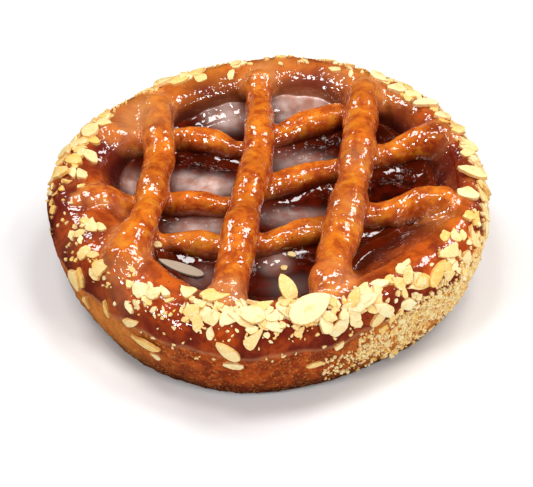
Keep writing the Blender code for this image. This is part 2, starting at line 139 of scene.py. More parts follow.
# Relief of the surface: widths of the bumps and their heights
LUMP_SIZE = 0.0062
LUMP_ON_CASE, LUMP_ON_ROLLS = 0.00040, 0.00060
KNOB_SIZE, KNOB_HEIGHT = 0.0026, 0.00018
RIPPLE_SIZE, RIPPLE_HEIGHT = 0.0013, 0.00009
CRUMB_SIZE, CRUMB_HEIGHT = 0.0011, 0.00022
GLAZE_THICKNESS = 0.00022
GLAZE_EDGE_HEIGHT = 0.0168
GLAZE_EDGE_STRAY = 0.0014
GLAZE_EDGE_SIZE = 0.0045
GLAZE_EDGE_SOFTNESS = 0.0011
BASE_FADE_HEIGHT = 0.0015

# The lattice's grid, from its lowest to its highest corner
NET_LOW = (-0.0485, -0.0470, 0.0125)
NET_HIGH = (0.0485, 0.0465, 0.0300)

# The jam: how far it runs into the wall, how it creeps up dough, and its unevenness
JAM_FLOOR_HEIGHT = 0.0098
JAM_INTO_WALL = 0.0010
JAM_RINGS = 90
JAM_TURNS = 480
CREEP_HEIGHT, CREEP_REACH, HIGHEST_CREEP = 0.0019, 0.0015, 0.0034
CREEP_OF_POOLS, HIGHER_IN_POOLS = 0.9, 0.0014
# How much of the thin jam's lighter colour shows at the case
EDGE_AT_CASE = 0.35
JAM_LUMP_HEIGHT, JAM_LUMP_SIZE = 0.00030, 0.0045
# Milky icing on it, in pools whose colour is partly a painted reflection: x, y, reach in x and in y in
# millimetres, and strength
POOL_HEIGHT = 0.0006
POOL_STRAY, POOL_STRAY_SIZE = 0.35, 0.0035
POOLS = (
    (-10.6, 31.8, 5.4, 4.6, 0.66), (-15.1, 5.8, 6.8, 3.8, 1), (-19.7, 8.2, 3.6, 3.2, 0.75),
    (-16.1, -9.6, 6.6, 3, 0.72), (-15, -27.3, 3.6, 4, 0.25), (7.8, 35.6, 8, 5.6, 1),
    (7.7, 13.8, 7.6, 4.6, 0.42), (6.3, -5.6, 7.8, 3.2, 0.42), (1.2, -21.6, 3.4, 3.4, 0.45),
    (4.5, -29, 5.8, 4, 0.12), (-30.6, 5.6, 3.4, 4.8, 1),
)
# Milky glaze on the crust: in its hollows, and in round patches of x, y, reach in millimetres, and strength.
# The patches on the front rim and at the long rolls' front ends are partly painted reflections.
VEIL_IN_HOLLOWS = 0.50
VEIL_LOST_LOW = 0.8
VEIL_STRAY, PATCH_SIZE = 0.6, 0.0035
VEILS_AND_REFLECTIONS = (
    (-31, 22.5, 7, 0.6), (1.4, 41, 6, 0.45), (18.5, 38.5, 6, 0.4), (-30.9, -37, 4.5, 0.35),
    (30, 30, 4.5, 0.2), (20, 4, 4.5, 0.4), (19.5, -14, 4.5, 0.35), (-10, -41.2, 4, 0.45),
    (-15.2, -38, 2.6, 0.5), (-6.8, -38, 2.6, 0.5), (14.8, -36.5, 4.5, 0.45), (-44.7, -20, 4.5, 0.2),
)
# Where the crust is baked pale gold, in the same form. The patch at -17.5, -16.8 on the front left cross
# roll is a painted highlight.
PALE_STRAY = 0.5
PALE_PLACES = (
    (-33, 27, 10, 0.8), (-16, 40, 9.5, 0.75), (2, 42.5, 8, 0.55), (23, 39.5, 9.5, 0.65),
    (34, 29, 5, 0.6), (37, -13, 5, 0.6), (-30, -6, 4, 0.5), (10, -18, 5, 0.45), (-17.5, -16.8, 5, 0.6),
    (-35, -33, 4, 0.2),
)
# Where the dry side is baked pale gold, in the same form
PALE_SIDES = (
    (-42, -27, 12, 0.8), (-30.9, -37.9, 9, 0.5), (33.2, -36.8, 13, 0.9), (44, -20, 13, 0.9),
    (48, 0, 13, 0.7), (43, 20, 12, 0.5),
)
# Where the crust is dark, on the case and on the rolls, in the same form: partly stains of jam and baking,
# partly painted shade, as on the left rim and where the cross rolls pass under the long ones
STAIN_STRAY = 0.5
CASE_STAINS_AND_SHADE = (
    (-40, 6, 6.2, 0.9), (-37, 11, 4, 0.7), (-45.5, -6, 4.5, 0.55), (-40, -10, 6, 0.4),
    (-37.5, -22, 5.5, 0.35), (-31, -33, 5, 0.4), (-47.2, -12, 5, 0.5), (-44, -21, 5, 0.45),
    (-38.5, -29, 4, 0.4), (-35.5, 14, 3, 0.8), (42, 7, 5.2, 1), (38.5, 14, 3, 0.7),
    (31.4, 25.5, 4.8, 0.85), (-18, 33.5, 4, 0.75), (-11.5, 35, 4.5, 0.85), (4, 36.8, 3.5, 0.7),
    (10.5, 37, 4.2, 0.9), (15, 34.8, 3.8, 0.7), (37, 3, 4, 0.6), (28.5, -19.5, 5, 0.6),
    (34, -16.5, 4, 0.5), (-19, -46.5, 6, 0.5), (-2, -47, 6, 0.45), (13, -45.5, 5, 0.6),
)
ROLL_STAINS_AND_SHADE = (
    (-26.5, 16.5, 2, 0.45), (-26.1, -5.9, 1.8, 0.45), (39.5, 15, 3.4, 0.75), (20, 6, 2.2, 0.45),
    (-4.5, 1, 2, 0.4), (-6, -12.4, 4.6, 0.34), (15.8, -11.7, 5, 0.34), (-26.4, 2, 4.2, 0.22),
    (21.8, 28.8, 4.2, 0.24), (-9.3, 14, 3.4, 0.4), (12, -12.3, 3.4, 0.3),
)
# Heights between which the crust darkens towards the jam, and how much higher on the case. This is painted
# shade under the rolls and down the well's wall, with some jam colour.
LOW_HEIGHT, HIGH_HEIGHT = 0.0176, 0.0228
DARK_RISE_ON_CASE = 0.0024
# Shares of that painted shade that icing covers, that the rolls' upper side loses, and that stays outside
# the crest
POOL_ON_FEET = 0.75
LOW_LOST_ON_TOP = 0.75
LOW_OUTSIDE = 0.30
# Slopes between which a surface counts as an upper side: the upward part of its unit normal. Upper sides get
# painted light, and the rolls' flanks painted shade.
TOP_LEANS = (0.35, 0.95)
# The height below which the case's foot turns darker towards the bottom
FOOT_HEIGHT = 0.0090
# Radii between which the rim turns darker on its way down the shoulder
OUTER_RADII = (0.0435, 0.0490)
# Distances from the rolls between which the crust counts as part of the case
RIM_FROM_ROLLS = (0.0005, 0.0030)

# Almond flakes on each arc of the rim: its two angles in degrees from +X, how many, and their two places
# across the rim. Place 0 is the crest, 0.5 the widest line and 1 the base, and below 0 is inside the crest.
ALMOND_ARCS = (
    (-128, -112, 4, 0.05, 0.5), (-112, -86, 28, -0.05, 0.36), (-86, -62, 23, -0.03, 0.4),
    (-62, -30, 20, -0.02, 0.62), (-30, 5, 16, 0, 0.6), (5, 40, 9, -0.04, 0.45),
    (40, 70, 10, -0.1, 0.25), (78, 102, 4, -0.04, 0.16), (112, 132, 6, -0.08, 0.22),
    (146, 182, 14, -0.08, 0.4), (182, 232, 9, -0.02, 0.5),
)
ALMOND_LENGTHS = (0.0028, 0.0058)
ALMOND_WIDTH_SHARES = (0.50, 0.85)
ALMOND_THICKNESS = 0.0009
ALMOND_SUNK = 0.45
ALMOND_TILT = 16
ALMOND_CORNER_REACH, ALMOND_CLEARANCE = 1.12, 0.0009
ALMOND_DENSEST = 0.4
ALMOND_SEED = 7
# Larger slices, set one by one: angle in degrees, place, length and width in millimetres, and turn from the
# rim's line
LARGE_SLICES = (
    (-79, 0.12, 10.5, 6.2, 22), (-85, -0.07, 6.4, 4, 105), (-92, 0.02, 5.6, 3.8, 28),
    (-106, 0.01, 6.6, 3.6, 17), (-101, 0.17, 5.6, 4.2, 5), (-95, 0.12, 7, 4.6, 165),
    (-94, 0.34, 5.6, 4.4, 45), (-114, 0.02, 4.4, 3.8, 165), (-122, 0.15, 4, 3.2, 60),
    (-100, 0.46, 6.6, 2.8, 140), (-99, 0.62, 5, 2.2, 170), (-122, 0.6, 8, 2.6, 172),
    (-65, 0.2, 8.8, 3.6, 7), (-72, 0.36, 6, 3.4, 34), (-59, 0.35, 6.8, 3.2, 135),
    (-33, 0.18, 7.8, 3.2, 160), (-40, 0.28, 7.2, 3.2, 30), (-9, 0, 6.2, 4.6, 60),
    (0, 0.05, 7.6, 3.6, 85), (35, 0.02, 6.6, 4, 60), (41, 0, 5.6, 3.6, 120), (48, 0.03, 6.2, 4.2, 20),
    (54, 0.06, 7, 4, 170), (66, 0.16, 5, 3.4, 90), (115, 0.06, 5.4, 3.4, 10), (121, 0.03, 6, 4, 160),
    (125, 0.12, 6.6, 4.4, 20), (155, 0.02, 4.4, 3.4, 90), (160, 0.08, 6.6, 4.8, 30),
    (166, 0.12, 6, 4.4, 100), (168, 0.24, 6.6, 4.6, 40), (171, -0.02, 6, 4.4, 120),
    (177, 0.21, 7, 4.6, 60), (-148, 0.49, 6.6, 5, 80), (-145, 0.64, 5, 3.4, 70),
    (-140, 0.22, 5.6, 3.4, 72),
)
LARGE_SLICE_TILT = 3
# Smaller pieces in the same form
SMALL_PIECES = (
    (-49, 0.03, 3.6, 2.8, 60), (-52, 0.26, 4, 2.2, 100), (-68, 0.35, 5.2, 2.6, 130),
    (-72, 0.55, 4, 2.2, 40), (-78, 0.69, 4.6, 2.2, 0), (-120, 0.74, 4, 2.2, 150),
    (-126, 0.48, 5.2, 2.2, 30), (-152, 0.01, 4, 2.2, 10), (-156, 0.09, 2.8, 2, 70),
    (-146, 0.44, 4.8, 3, 120), (-135, 0.53, 6, 1.6, 95), (86, 0.07, 3.6, 2.2, 0),
    (101, 0, 3.4, 1.8, 10), (96, 0.01, 2.2, 1.4, 170), (150, 0.1, 5, 3.4, 30),
    (153, 0.22, 5.4, 3.6, 110), (157, 0.16, 6, 4, 60), (158, 0.36, 5, 3.4, 60),
    (161, 0.28, 5.6, 3.6, 150), (164, 0.02, 5, 3.4, 80), (167, 0.34, 6, 3.6, 20),
    (170, 0.26, 5.2, 3.8, 100), (172, 0.44, 5.2, 3.4, 170), (173, 0.1, 5.6, 3.6, 50),
    (175, 0.36, 5, 3.2, 130), (179, 0.1, 4.6, 3, 20), (-27, 0.12, 5, 3.4, 40), (-22, 0.3, 6, 3.6, 80),
    (-17, 0.22, 5, 3.4, 20), (-14, 0.4, 5.2, 3.4, 60), (-11, 0.3, 5.8, 3.4, 100),
    (-6, 0.2, 5.2, 3.6, 60), (-2, 0.34, 6, 3.4, 120), (4, 0.22, 5.6, 3.6, 80), (8, 0.12, 5, 3.4, 30),
    (11, 0.3, 5.4, 3, 100), (15, 0.16, 5.6, 3.6, 70), (20, 0.08, 5, 3.2, 110), (24, 0.2, 5.4, 3.4, 60),
    (29, 0.1, 5.2, 3.4, 90),
)
# Pieces that lie in the gaps and on the rolls, found from above: x, y, length and width in millimetres, turn
# from +X, and tone
LYING_PIECES = (
    (-9.3, 40, 3.4, 2, 75, 0.45), (5, -19.2, 2.4, 1.4, -10, 0.4), (3.2, -23.3, 1.8, 1.6, 40, 0.4),
    (-25, -19, 2.4, 1.8, -50, 0.35), (6.5, -44, 4, 1.2, -60, 0),
)
LYING_THICKNESS = 0.0006
# Slices that lean on the jam and the rim: middle, length and width in millimetres, turn from +X, rise along
# it, and tone. The first is the long one on the jam, greyish with glaze.
LEANING_PIECES = (
    ((-19.7, -24.6, 19.3), (10.8, 3), 163, 10, -1), ((3.8, -38.8, 26.2), (6.8, 3.8), 117, 26, 0.75),
    ((18, -42, 26.2), (4.6, 2.6), 65, 35, 0.85), ((30, -35, 26.4), (4.4, 2.2), 80, 40, 0.6),
)
# Longer pieces than this are nearly whole slices, and stand a little higher
WHOLE_SLICE_LENGTH = 0.0063
SLICE_CORNERS = 20
SLICE_POINT, SLICE_FULLNESS = 0.45, 1.12
SLICE_CURL = 0.00040
SHARP_ANGLE = 38
LARGE_LIFT = 0.0004
LARGE_BREAKS = (0, 1, 2)
BREAKS = (1, 4)
BREAK_OFFSETS = (0.45, 0.92)
CORNER_STRAY = 0.25
BROKEN_REACHES = (0.87, 1.06)
# How golden the pieces are: most at the back on the left, least at the front
TONE_MEAN, TONE_SPREAD = 0.48, 0.35
LESS_GOLDEN_IN_FRONT, MORE_GOLDEN_BEHIND = 0.14, 0.24
FRONT_ANGLE, GOLDEN_ANGLE = -math.pi / 2, math.radians(160)
# Rounding of a piece's rim, from below to above: shares of its outline and of its thickness
FLAKE_RINGS = ((0.93, 1.0), (0.99, 0.93), (1.0, 0.78), (1.0, 0.22), (0.99, 0.07), (0.93, 0.0))
MEAL_RINGS = ((0.75, 1.0), (1.0, 0.5), (0.75, 0.0))
EDGE_FROM = 0.95
# Chopped bits among the flakes and where the side has meal, and almond meal, as arcs like those above
BITS_A_FLAKE = 2.4
BIT_TILT = 26
BIT_ARCS = (
    *((start, end, round(count * BITS_A_FLAKE), high, low) for start, end, count, high, low in ALMOND_ARCS),
    (-60, -30, 60, 0.42, 0.92), (-32, 10, 110, 0.3, 0.9), (10, 60, 30, 0.2, 0.6),
)
MEAL_ARCS = (
    (-76, -58, 130, 0.62, 0.95), (-66, -48, 340, 0.45, 0.95), (-52, -28, 700, 0.38, 0.95),
    (-32, 0, 950, 0.28, 0.95), (-4, 24, 520, 0.28, 0.9), (18, 45, 340, 0.2, 0.78),
    (40, 75, 260, 0.15, 0.62), (70, 110, 150, 0.1, 0.52), (100, 145, 100, 0.08, 0.5),
    (-128, -66, 110, 0.1, 0.62), (140, 180, 110, 0.05, 0.6), (175, 232, 45, 0.05, 0.6),
)
# The two kinds of loose bits: name, arcs, lengths, thicknesses, corners, rings and seed
LOOSE_BITS = (
    ("almond_bits", BIT_ARCS, (0.0012, 0.0036), (0.0004, 0.0007), 7, FLAKE_RINGS, 21),
    ("almond_meal", MEAL_ARCS, (0.0005, 0.0016), (0.0003, 0.0009), 5, MEAL_RINGS, 22),
)
PLACING_HEIGHT = 0.006
# The step along the rim, in radians, and across it, in places, that finds a surface's directions
NUDGE = 0.004

FLOOR_REACH = 2.0
WORLD_STRENGTH = 0.19
# Lamps: name, place, width in metres, and power in watts
LAMPS = (
    ("back_left_softbox", (-0.45, 0.40, 0.55), 0.28, 1.9),
    ("back_right_softbox", (0.50, 0.30, 0.55), 0.28, 1.9),
    ("top_left_softbox", (-0.16, -0.02, 0.80), 0.22, 1.5),
    ("top_right_softbox", (0.20, 0.10, 0.80), 0.22, 1.5),
    ("front_left_lamp", (-0.46, -0.40, 0.45), 0.16, 1.6),
    ("front_right_lamp", (0.30, -0.36, 0.62), 0.12, 0.7),
    ("low_right_lamp", (0.46, -0.40, 0.30), 0.16, 1.3),
)
LAMP_TARGET = Vector((0, 0, 0.02))

NOISE_CELLS = 48
NOISE_TURN = Matrix.Rotation(0.7, 3, (0.3, 0.5, 0.8))


def waves(angle, terms):
    """The sum of some waves round the tartlet, at an angle in radians."""
    return sum(size * np.cos(count * (angle - math.radians(top))) for count, size, top in terms)


def smoothstep(value, low, high):
    """0 below low, 1 above high, and a smooth rise between them."""
    share = np.clip((value - low) / (high - low), 0, 1)
    return share**2 * (3 - 2 * share)


def smooth_noise(points, size, seed):
    """Smooth noise from -1 to 1 at some points, with bumps about as wide as size."""
    table = np.random.default_rng(seed).uniform(-1, 1, (NOISE_CELLS,) * 3)
    scaled = np.asarray(points) @ np.array(NOISE_TURN) / size
    cell = np.floor(scaled).astype(int)
    part = scaled - cell
    part = part**2 * (3 - 2 * part)
    total = np.zeros(len(scaled))
    for corner in itertools.product((0, 1), repeat=3):
        weight = np.prod(np.where(corner, part, 1 - part), axis=1)
        at = (cell + corner) % NOISE_CELLS
        total += weight * table[at[:, 0], at[:, 1], at[:, 2]]
    return total


def well_side():
    """The outline's points up the well's side, from its floor to just inside the crest."""
    return [
        (WELL_FLOOR_RADIUS, WELL_FLOOR_HEIGHT),
        (JAM_EDGE_RADIUS, JAM_HEIGHT),
        (WELL_LIP_RADIUS, WELL_LIP_HEIGHT),
        (LIP_TURN_RADIUS, LIP_TURN_HEIGHT),
    ]


def shoulder():
    """The outline's points from the crest to the widest line."""
    return [outline_at(0.5 * i / SHOULDER_POINTS) for i in range(SHOULDER_POINTS + 1)]


def rim_height(radius):
    """The height of the well's side, the rim and the shoulder at a radius."""
    radii, heights = zip(*well_side(), *shoulder())
    return np.interp(radius, radii, heights)


def outline_at(place):
    """(radius, height) at a place across the rim: 0 on the crest, 0.5 on the widest line, 1 on the base."""
    if place < 0:
        radius = CREST_RADIUS + (CREST_RADIUS - WELL_LIP_RADIUS) * place / INNER_PLACE
        return radius, float(rim_height(radius))
    if place <= 0.5:
        turn = place * math.pi
        radius = CREST_RADIUS + (WIDEST_RADIUS - CREST_RADIUS) * math.sin(turn) ** SHOULDER_POWER
        height = WIDEST_HEIGHT + (CREST_HEIGHT - WIDEST_HEIGHT) * math.cos(turn) ** SHOULDER_POWER
        return radius, height
    down = (place - 0.5) * 2
    bulge = SIDE_BULGE * math.sin(math.pi * down)
    return WIDEST_RADIUS + (BASE_RADIUS - WIDEST_RADIUS) * down + bulge, WIDEST_HEIGHT * (1 - down)


def height_share(height):
    """How much of the crest's uneven height applies: none up to the jam's height, all of it at the crest."""
    return np.clip((height - JAM_HEIGHT) / (CREST_HEIGHT - JAM_HEIGHT), 0, None)


def well_radii(angle):
    """Radii of the crest, the lip and the jam's edge at angles in radians, smoothed round the tartlet."""
    degrees = np.arange(360)
    spread = np.exp(-0.5 * (((degrees + 180) % 360 - 180) / FORM_SMOOTHING) ** 2)
    angles, *columns = zip(*WELL_FORM)
    radii = []
    for column in columns:
        coarse = np.interp(degrees, angles, column, period=360)
        smooth = np.fft.ifft(np.fft.fft(coarse) * np.fft.fft(spread / spread.sum())).real
        radii.append(np.interp(np.degrees(angle), degrees, smooth, period=360))
    return radii


def radius_knots(angle):
    """Matching radii of the perfectly round tartlet and of the baked one, from the middle outwards."""
    crest, lip, foot = well_radii(angle)
    turn_share = (LIP_TURN_RADIUS - WELL_LIP_RADIUS) / (CREST_RADIUS - WELL_LIP_RADIUS)
    floor = foot * WELL_FLOOR_RADIUS / JAM_EDGE_RADIUS
    widest = WIDEST_RADIUS * (1 + waves(angle, OUTLINE_WAVES))
    turn = lip + (crest - lip) * turn_share
    even = [0, *(radius for radius, _ in well_side()), CREST_RADIUS, WIDEST_RADIUS]
    baked = [0 * floor, floor, foot, lip, turn, crest, widest]
    return [np.full_like(crest, radius) for radius in even], baked


def moved_between(values, knots, targets):
    """Values moved as the knots move to their targets, in proportion between knots and beyond the last."""
    moved = values * targets[-1] / knots[-1]
    for a, b, start, end in reversed(list(zip(knots, knots[1:], targets, targets[1:]))):
        moved = np.where(values < b, start + (values - a) / (b - a) * (end - start), moved)
    return moved


def uneven(points):
    """Points of a perfectly round tartlet, moved to the baked outline and to the rim's uneven height."""
    points = np.asarray(points, float)
    angle = np.arctan2(points[:, 1], points[:, 0])
    radius = np.hypot(points[:, 0], points[:, 1])
    baked = moved_between(radius, *radius_knots(angle))
    side = (radius > CREST_RADIUS) & (points[:, 2] <= WIDEST_HEIGHT) | (points[:, 2] <= BASE_CORNER)
    baked = np.where(side, radius * (1 + waves(angle, OUTLINE_WAVES)), baked)
    rise = waves(angle, CREST_WAVES) * height_share(points[:, 2])
    return np.column_stack([baked * np.cos(angle), baked * np.sin(angle), points[:, 2] + rise])


def round_radius(plan):
    """The radius that plan points would have on a perfectly round tartlet."""
    angle = np.arctan2(plan[:, 1], plan[:, 0])
    knots, targets = radius_knots(angle)
    return moved_between(np.hypot(plan[:, 0], plan[:, 1]), targets, knots)


def lengths_along(line):
    """The length along a line from its start to each of its points."""
    return np.concatenate([[0], np.cumsum(np.linalg.norm(np.diff(line, axis=0), axis=1))])


def smooth_route(route, step):
    """Evenly spaced points on a Catmull-Rom curve through a route's points."""
    knots = np.array([2 * np.array(route[0]) - route[1], *route, 2 * np.array(route[-1]) - route[-2]])
    fine = []
    for a, b, c, d in zip(knots, knots[1:], knots[2:], knots[3:]):
        for t in np.linspace(0, 1, SAMPLES_A_SPAN, endpoint=False):
            bend = (2 * a - 5 * b + 4 * c - d) * t**2 + (3 * b - a - 3 * c + d) * t**3
            fine.append(b + 0.5 * ((c - a) * t + bend))
    return evenly(np.array([*fine, route[-1]]), step)


def evenly(line, step):
    """A line's points, sampled again at even steps."""
    along = lengths_along(line)
    even = np.linspace(0, along[-1], round(along[-1] / step) + 1)
    return np.column_stack([np.interp(even, along, line[:, i]) for i in range(line.shape[1])])


def crossing_share(points, others):
    """How much each point lies at a crossing with other routes: 1 on it, falling to 0 away from it."""
    others = np.concatenate(others)
    nearest = np.linalg.norm(points[:, None] - others[None], axis=2).min(axis=1)
    return np.exp(-((nearest / CROSSING_REACH) ** 2))


def roll_points(plan, low_height, crossing_rise, end_radii, others):
    """The centre line of a roll and its radius at each point, from its plan. Others press it if it dips."""
    share = crossing_share(plan, others)
    radii = np.linspace(*end_radii, len(plan))
    if crossing_rise < 0:
        radii = radii + (PRESSED_RADIUS - radii) * share
    heights = low_height + crossing_rise * share
    on_rim = CREST_HEIGHT + waves(np.arctan2(plan[:, 1], plan[:, 0]), CREST_WAVES) - ROLL_SINK_AT_RIM
    climb = smoothstep(round_radius(plan), CLIMB_START_RADIUS, CLIMB_END_RADIUS)
    if crossing_rise < 0:
        climb = climb * (1 - share) ** 2
    heights = heights + (on_rim - heights) * climb
    return np.column_stack([plan, heights]), radii


def domed_ends(points, radii):
    """A roll's points and radii, sampled again so that both ends close in a dome."""
    along = lengths_along(points)
    first, last = radii[0], radii[-1]
    turns = np.radians(END_DOME_TURNS)
    dome = 1 - np.cos(turns)
    middle = np.linspace(first, along[-1] - last, round(along[-1] / ROLL_STEP))
    places = np.concatenate([dome * first, middle, along[-1] - dome[::-1] * last])
    shares = np.concatenate([np.sin(turns), np.ones(len(middle)), np.sin(turns)[::-1]])
    sampled = np.column_stack([np.interp(places, along, points[:, i]) for i in range(3)])
    return sampled, np.interp(places, along, radii) * shares


def lattice_rolls():
    """(name, points, radii) of each roll of the lattice."""
    longs = [smooth_route(route, PLAN_STEP) for route in LONG_ROUTES]
    crosses = [smooth_route(route, PLAN_STEP) for route in CROSS_ROUTES]
    rolls = []
    for kind, plans, others, ends, low_height, rise in (
        ("long_roll", longs, crosses, LONG_RADII, LONG_LOW_HEIGHT, LONG_HUMP),
        ("cross_roll", crosses, longs, CROSS_RADII, CROSS_LOW_HEIGHT, -CROSS_DIP),
    ):
        for i, plan in enumerate(plans):
            points, radii = roll_points(plan, low_height, rise, ends[i], others)
            rolls.append((f"{kind}_{i + 1}", *domed_ends(points, radii)))
    return rolls


def case_outline():
    """The case's outline from the middle of the well, over the rim and down to the middle of the base."""
    side = [outline_at(0.5 + 0.5 * i / SIDE_POINTS) for i in range(1, SIDE_POINTS)]
    upper = smooth_route([*well_side(), *shoulder(), *side, (BASE_RADIUS, BASE_CORNER)], OUTLINE_STEP)
    return np.array([(0, WELL_FLOOR_HEIGHT), *upper, (BASE_RADIUS - BASE_CORNER, 0), (0, 0)])


def crust_height(plan):
    """The height of the case's upper side at plan points."""
    rim = smooth_route([*well_side(), *shoulder()], OUTLINE_STEP)
    level = np.interp(round_radius(plan), rim[:, 0], rim[:, 1])
    return level + waves(np.arctan2(plan[:, 1], plan[:, 0]), CREST_WAVES) * height_share(level)


def blended(a, b, reach):
    """The smaller of two distances, rounded where they are about equal, and how much it was rounded."""
    near = np.maximum(reach - np.abs(a - b), 0) / reach
    return np.minimum(a, b) - near**2 * reach / 4, near**2


def plan_of_roll(plan, points, radii):
    """For plan points: the distance in plan to a roll's centre line, and its height and radius there."""
    best = np.full(len(plan), np.inf)
    height = np.zeros(len(plan))
    radius = np.zeros(len(plan))
    for start, end, r0, r1 in zip(points[:-1], points[1:], radii[:-1], radii[1:]):
        run = end[:2] - start[:2]
        share = np.clip((plan - start[:2]) @ run / (run @ run), 0, 1)
        gap = np.linalg.norm(plan - start[:2] - share[:, None] * run, axis=1)
        closer = gap < best
        best = np.where(closer, gap, best)
        height = np.where(closer, start[2] + share * (end[2] - start[2]), height)
        radius = np.where(closer, r0 + share * (r1 - r0), radius)
    return best, height, radius


class Field:
    """Distances from the crust at plan points, at any heights there: from the rolls, and from the case."""

    def __init__(self, plan, rolls):
        self.rolls = [plan_of_roll(plan, points, radii) for _, points, radii in rolls]
        self.crust = crust_height(plan)
        slopes = [(crust_height(plan + step) - self.crust) / SLOPE_STEP for step in np.eye(2) * SLOPE_STEP]
        self.lean = np.sqrt(1 + slopes[0] ** 2 + slopes[1] ** 2)

    def from_rolls(self, heights):
        """The distance from the blended rolls. Heights is one row for each plan point."""
        total = None
        for gap, middle, radius in self.rolls:
            distance = np.hypot(gap[:, None], heights - middle[:, None]) - radius[:, None]
            total = distance if total is None else blended(total, distance, ROLL_BLEND)[0]
        return total

    def from_case(self, heights):
        """The distance from the upper side of the case, as its slope there makes it."""
        return (heights - self.crust[:, None]) / self.lean[:, None]


def surface_net(field, low, step):
    """Points and quads of a field's zero surface. The field is below zero inside, on a regular grid."""
    inside = field < 0
    sizes = np.array(field.shape) - 1
    corners = list(itertools.product((0, 1), repeat=3))
    shifted = [tuple(slice(o, o + n) for o, n in zip(corner, sizes)) for corner in corners]
    count = sum(inside[part].astype(np.int8) for part in shifted)
    cells = np.argwhere((count > 0) & (count < 8))
    number = np.full(tuple(sizes), -1, np.int32)
    number[tuple(cells.T)] = np.arange(len(cells))
    values = np.stack([field[tuple((cells + corner).T)] for corner in corners], axis=1)
    total = np.zeros((len(cells), 3))
    hits = np.zeros(len(cells))
    for (i, a), (j, b) in itertools.combinations(enumerate(map(np.array, corners)), 2):
        if np.abs(a - b).sum() == 1:
            cut = (values[:, i] < 0) != (values[:, j] < 0)
            share = values[cut, i] / (values[cut, i] - values[cut, j])
            total[cut] += a + share[:, None] * (b - a)
            hits[cut] += 1
    points = low + step * (cells + total / hits[:, None])
    return points, np.concatenate([net_quads(inside, number, axis) for axis in range(3)])


def net_quads(inside, number, axis):
    """The quads that cross the grid's edges along one axis, wound so that they face outwards."""
    inside, number = np.moveaxis(inside, axis, 0), np.moveaxis(number, axis, 0)
    first, second = inside[:-1, 1:-1, 1:-1], inside[1:, 1:-1, 1:-1]
    quads = []
    for edges, forward in ((first & ~second, True), (~first & second, False)):
        i, j, k = np.nonzero(edges)
        ring = [number[i, j + u, k + v] for u, v in ((0, 0), (1, 0), (1, 1), (0, 1))]
        ring = np.column_stack(ring)
        forward = forward != (axis == 1)
        quads.append(ring if forward else ring[:, ::-1])
    return np.concatenate(quads)


def largest_part(points, quads):
    """The points and quads of a surface's largest connected part."""
    part = np.arange(len(points))
    while True:
        joined = part.copy()
        np.minimum.at(joined, quads.ravel(), np.repeat(part[quads].min(axis=1), 4))
        joined = joined[joined]
        if np.array_equal(joined, part):
            break
        part = joined
    kept = part == np.bincount(part).argmax()
    number = np.cumsum(kept) - 1
    return points[kept], number[quads[kept[quads[:, 0]]]]


def in_scene(name, data):
    """A new object of the scene, with a mesh, a lamp or a camera as its data."""
    made = bpy.data.objects.new(name, data)
    bpy.context.scene.collection.objects.link(made)
    return made


def piece(name, points, faces, material):
    """A smooth-shaded mesh object, from points and a list of faces or of arrays of faces."""
    mesh = bpy.data.meshes.new(name)
    mesh.from_pydata(np.asarray(points).tolist(), [], [face for part in faces for face in part.tolist()])
    mesh.update()
    mesh.shade_smooth()
    mesh.materials.append(material)
    made = in_scene(name, mesh)
    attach(made, "root")
    return made


def vectors_of(items, name):
    """One vector of each of some mesh items, as the rows of an array."""
    flat = np.empty(len(items) * 3)
    items.foreach_get(name, flat)
    return flat.reshape(-1, 3)


def raise_surface(made, lump_height):
    """Moves each point of a piece outwards by its relief."""
    points = vectors_of(made.data.vertices, "co")
    normals = vectors_of(made.data.vertex_normals, "vector")
    raised = points + normals * relief(points, lump_height)[:, None]
    made.data.vertices.foreach_set("co", raised.ravel())
    made.data.update()


def store(made, name, values):
    """Stores a number for each point, for the materials to read."""
    made.data.attributes.new(name, "FLOAT", "POINT").data.foreach_set("value", np.asarray(values, float))


def glaze_share(points):
    """1 where the crust is glazed, 0 on the dry side below the glaze's uneven edge."""
    edge = GLAZE_EDGE_HEIGHT + GLAZE_EDGE_STRAY * smooth_noise(points * (1, 1, 0), GLAZE_EDGE_SIZE, seed=11)
    above = smoothstep(points[:, 2] - edge, -GLAZE_EDGE_SOFTNESS, GLAZE_EDGE_SOFTNESS)
    return np.where(round_radius(points[:, :2]) < CREST_RADIUS, 1, above)


def relief(points, lump_height):
    """How far the surface stands out: lumps of the dough, ripples of the glaze and crumb on the dry side."""
    glaze = glaze_share(points)
    lumps = lump_height * smooth_noise(points, LUMP_SIZE, seed=1)
    knobs = KNOB_HEIGHT * smooth_noise(points, KNOB_SIZE, seed=6)
    ripples = RIPPLE_HEIGHT * smooth_noise(points, RIPPLE_SIZE, seed=2)
    fine_crumb = smooth_noise(points, CRUMB_SIZE / 2, seed=4) / 2
    crumb = CRUMB_HEIGHT * (smooth_noise(points, CRUMB_SIZE, seed=3) + fine_crumb)
    height = lumps + glaze * (knobs + ripples + GLAZE_THICKNESS) + (1 - glaze) * crumb
    return height * smoothstep(points[:, 2], 0, BASE_FADE_HEIGHT)


def patches(points, spots, stray, seed):
    """The sum of some round soft patches on the crust, made uneven."""
    total = np.zeros(len(points))
    for x, y, reach, strength in spots:
        gap = np.hypot(points[:, 0] / MM - x, points[:, 1] / MM - y)
        total += strength * np.exp(-((gap / reach) ** 2))
    return total * (1 + stray * smooth_noise(points, PATCH_SIZE, seed))


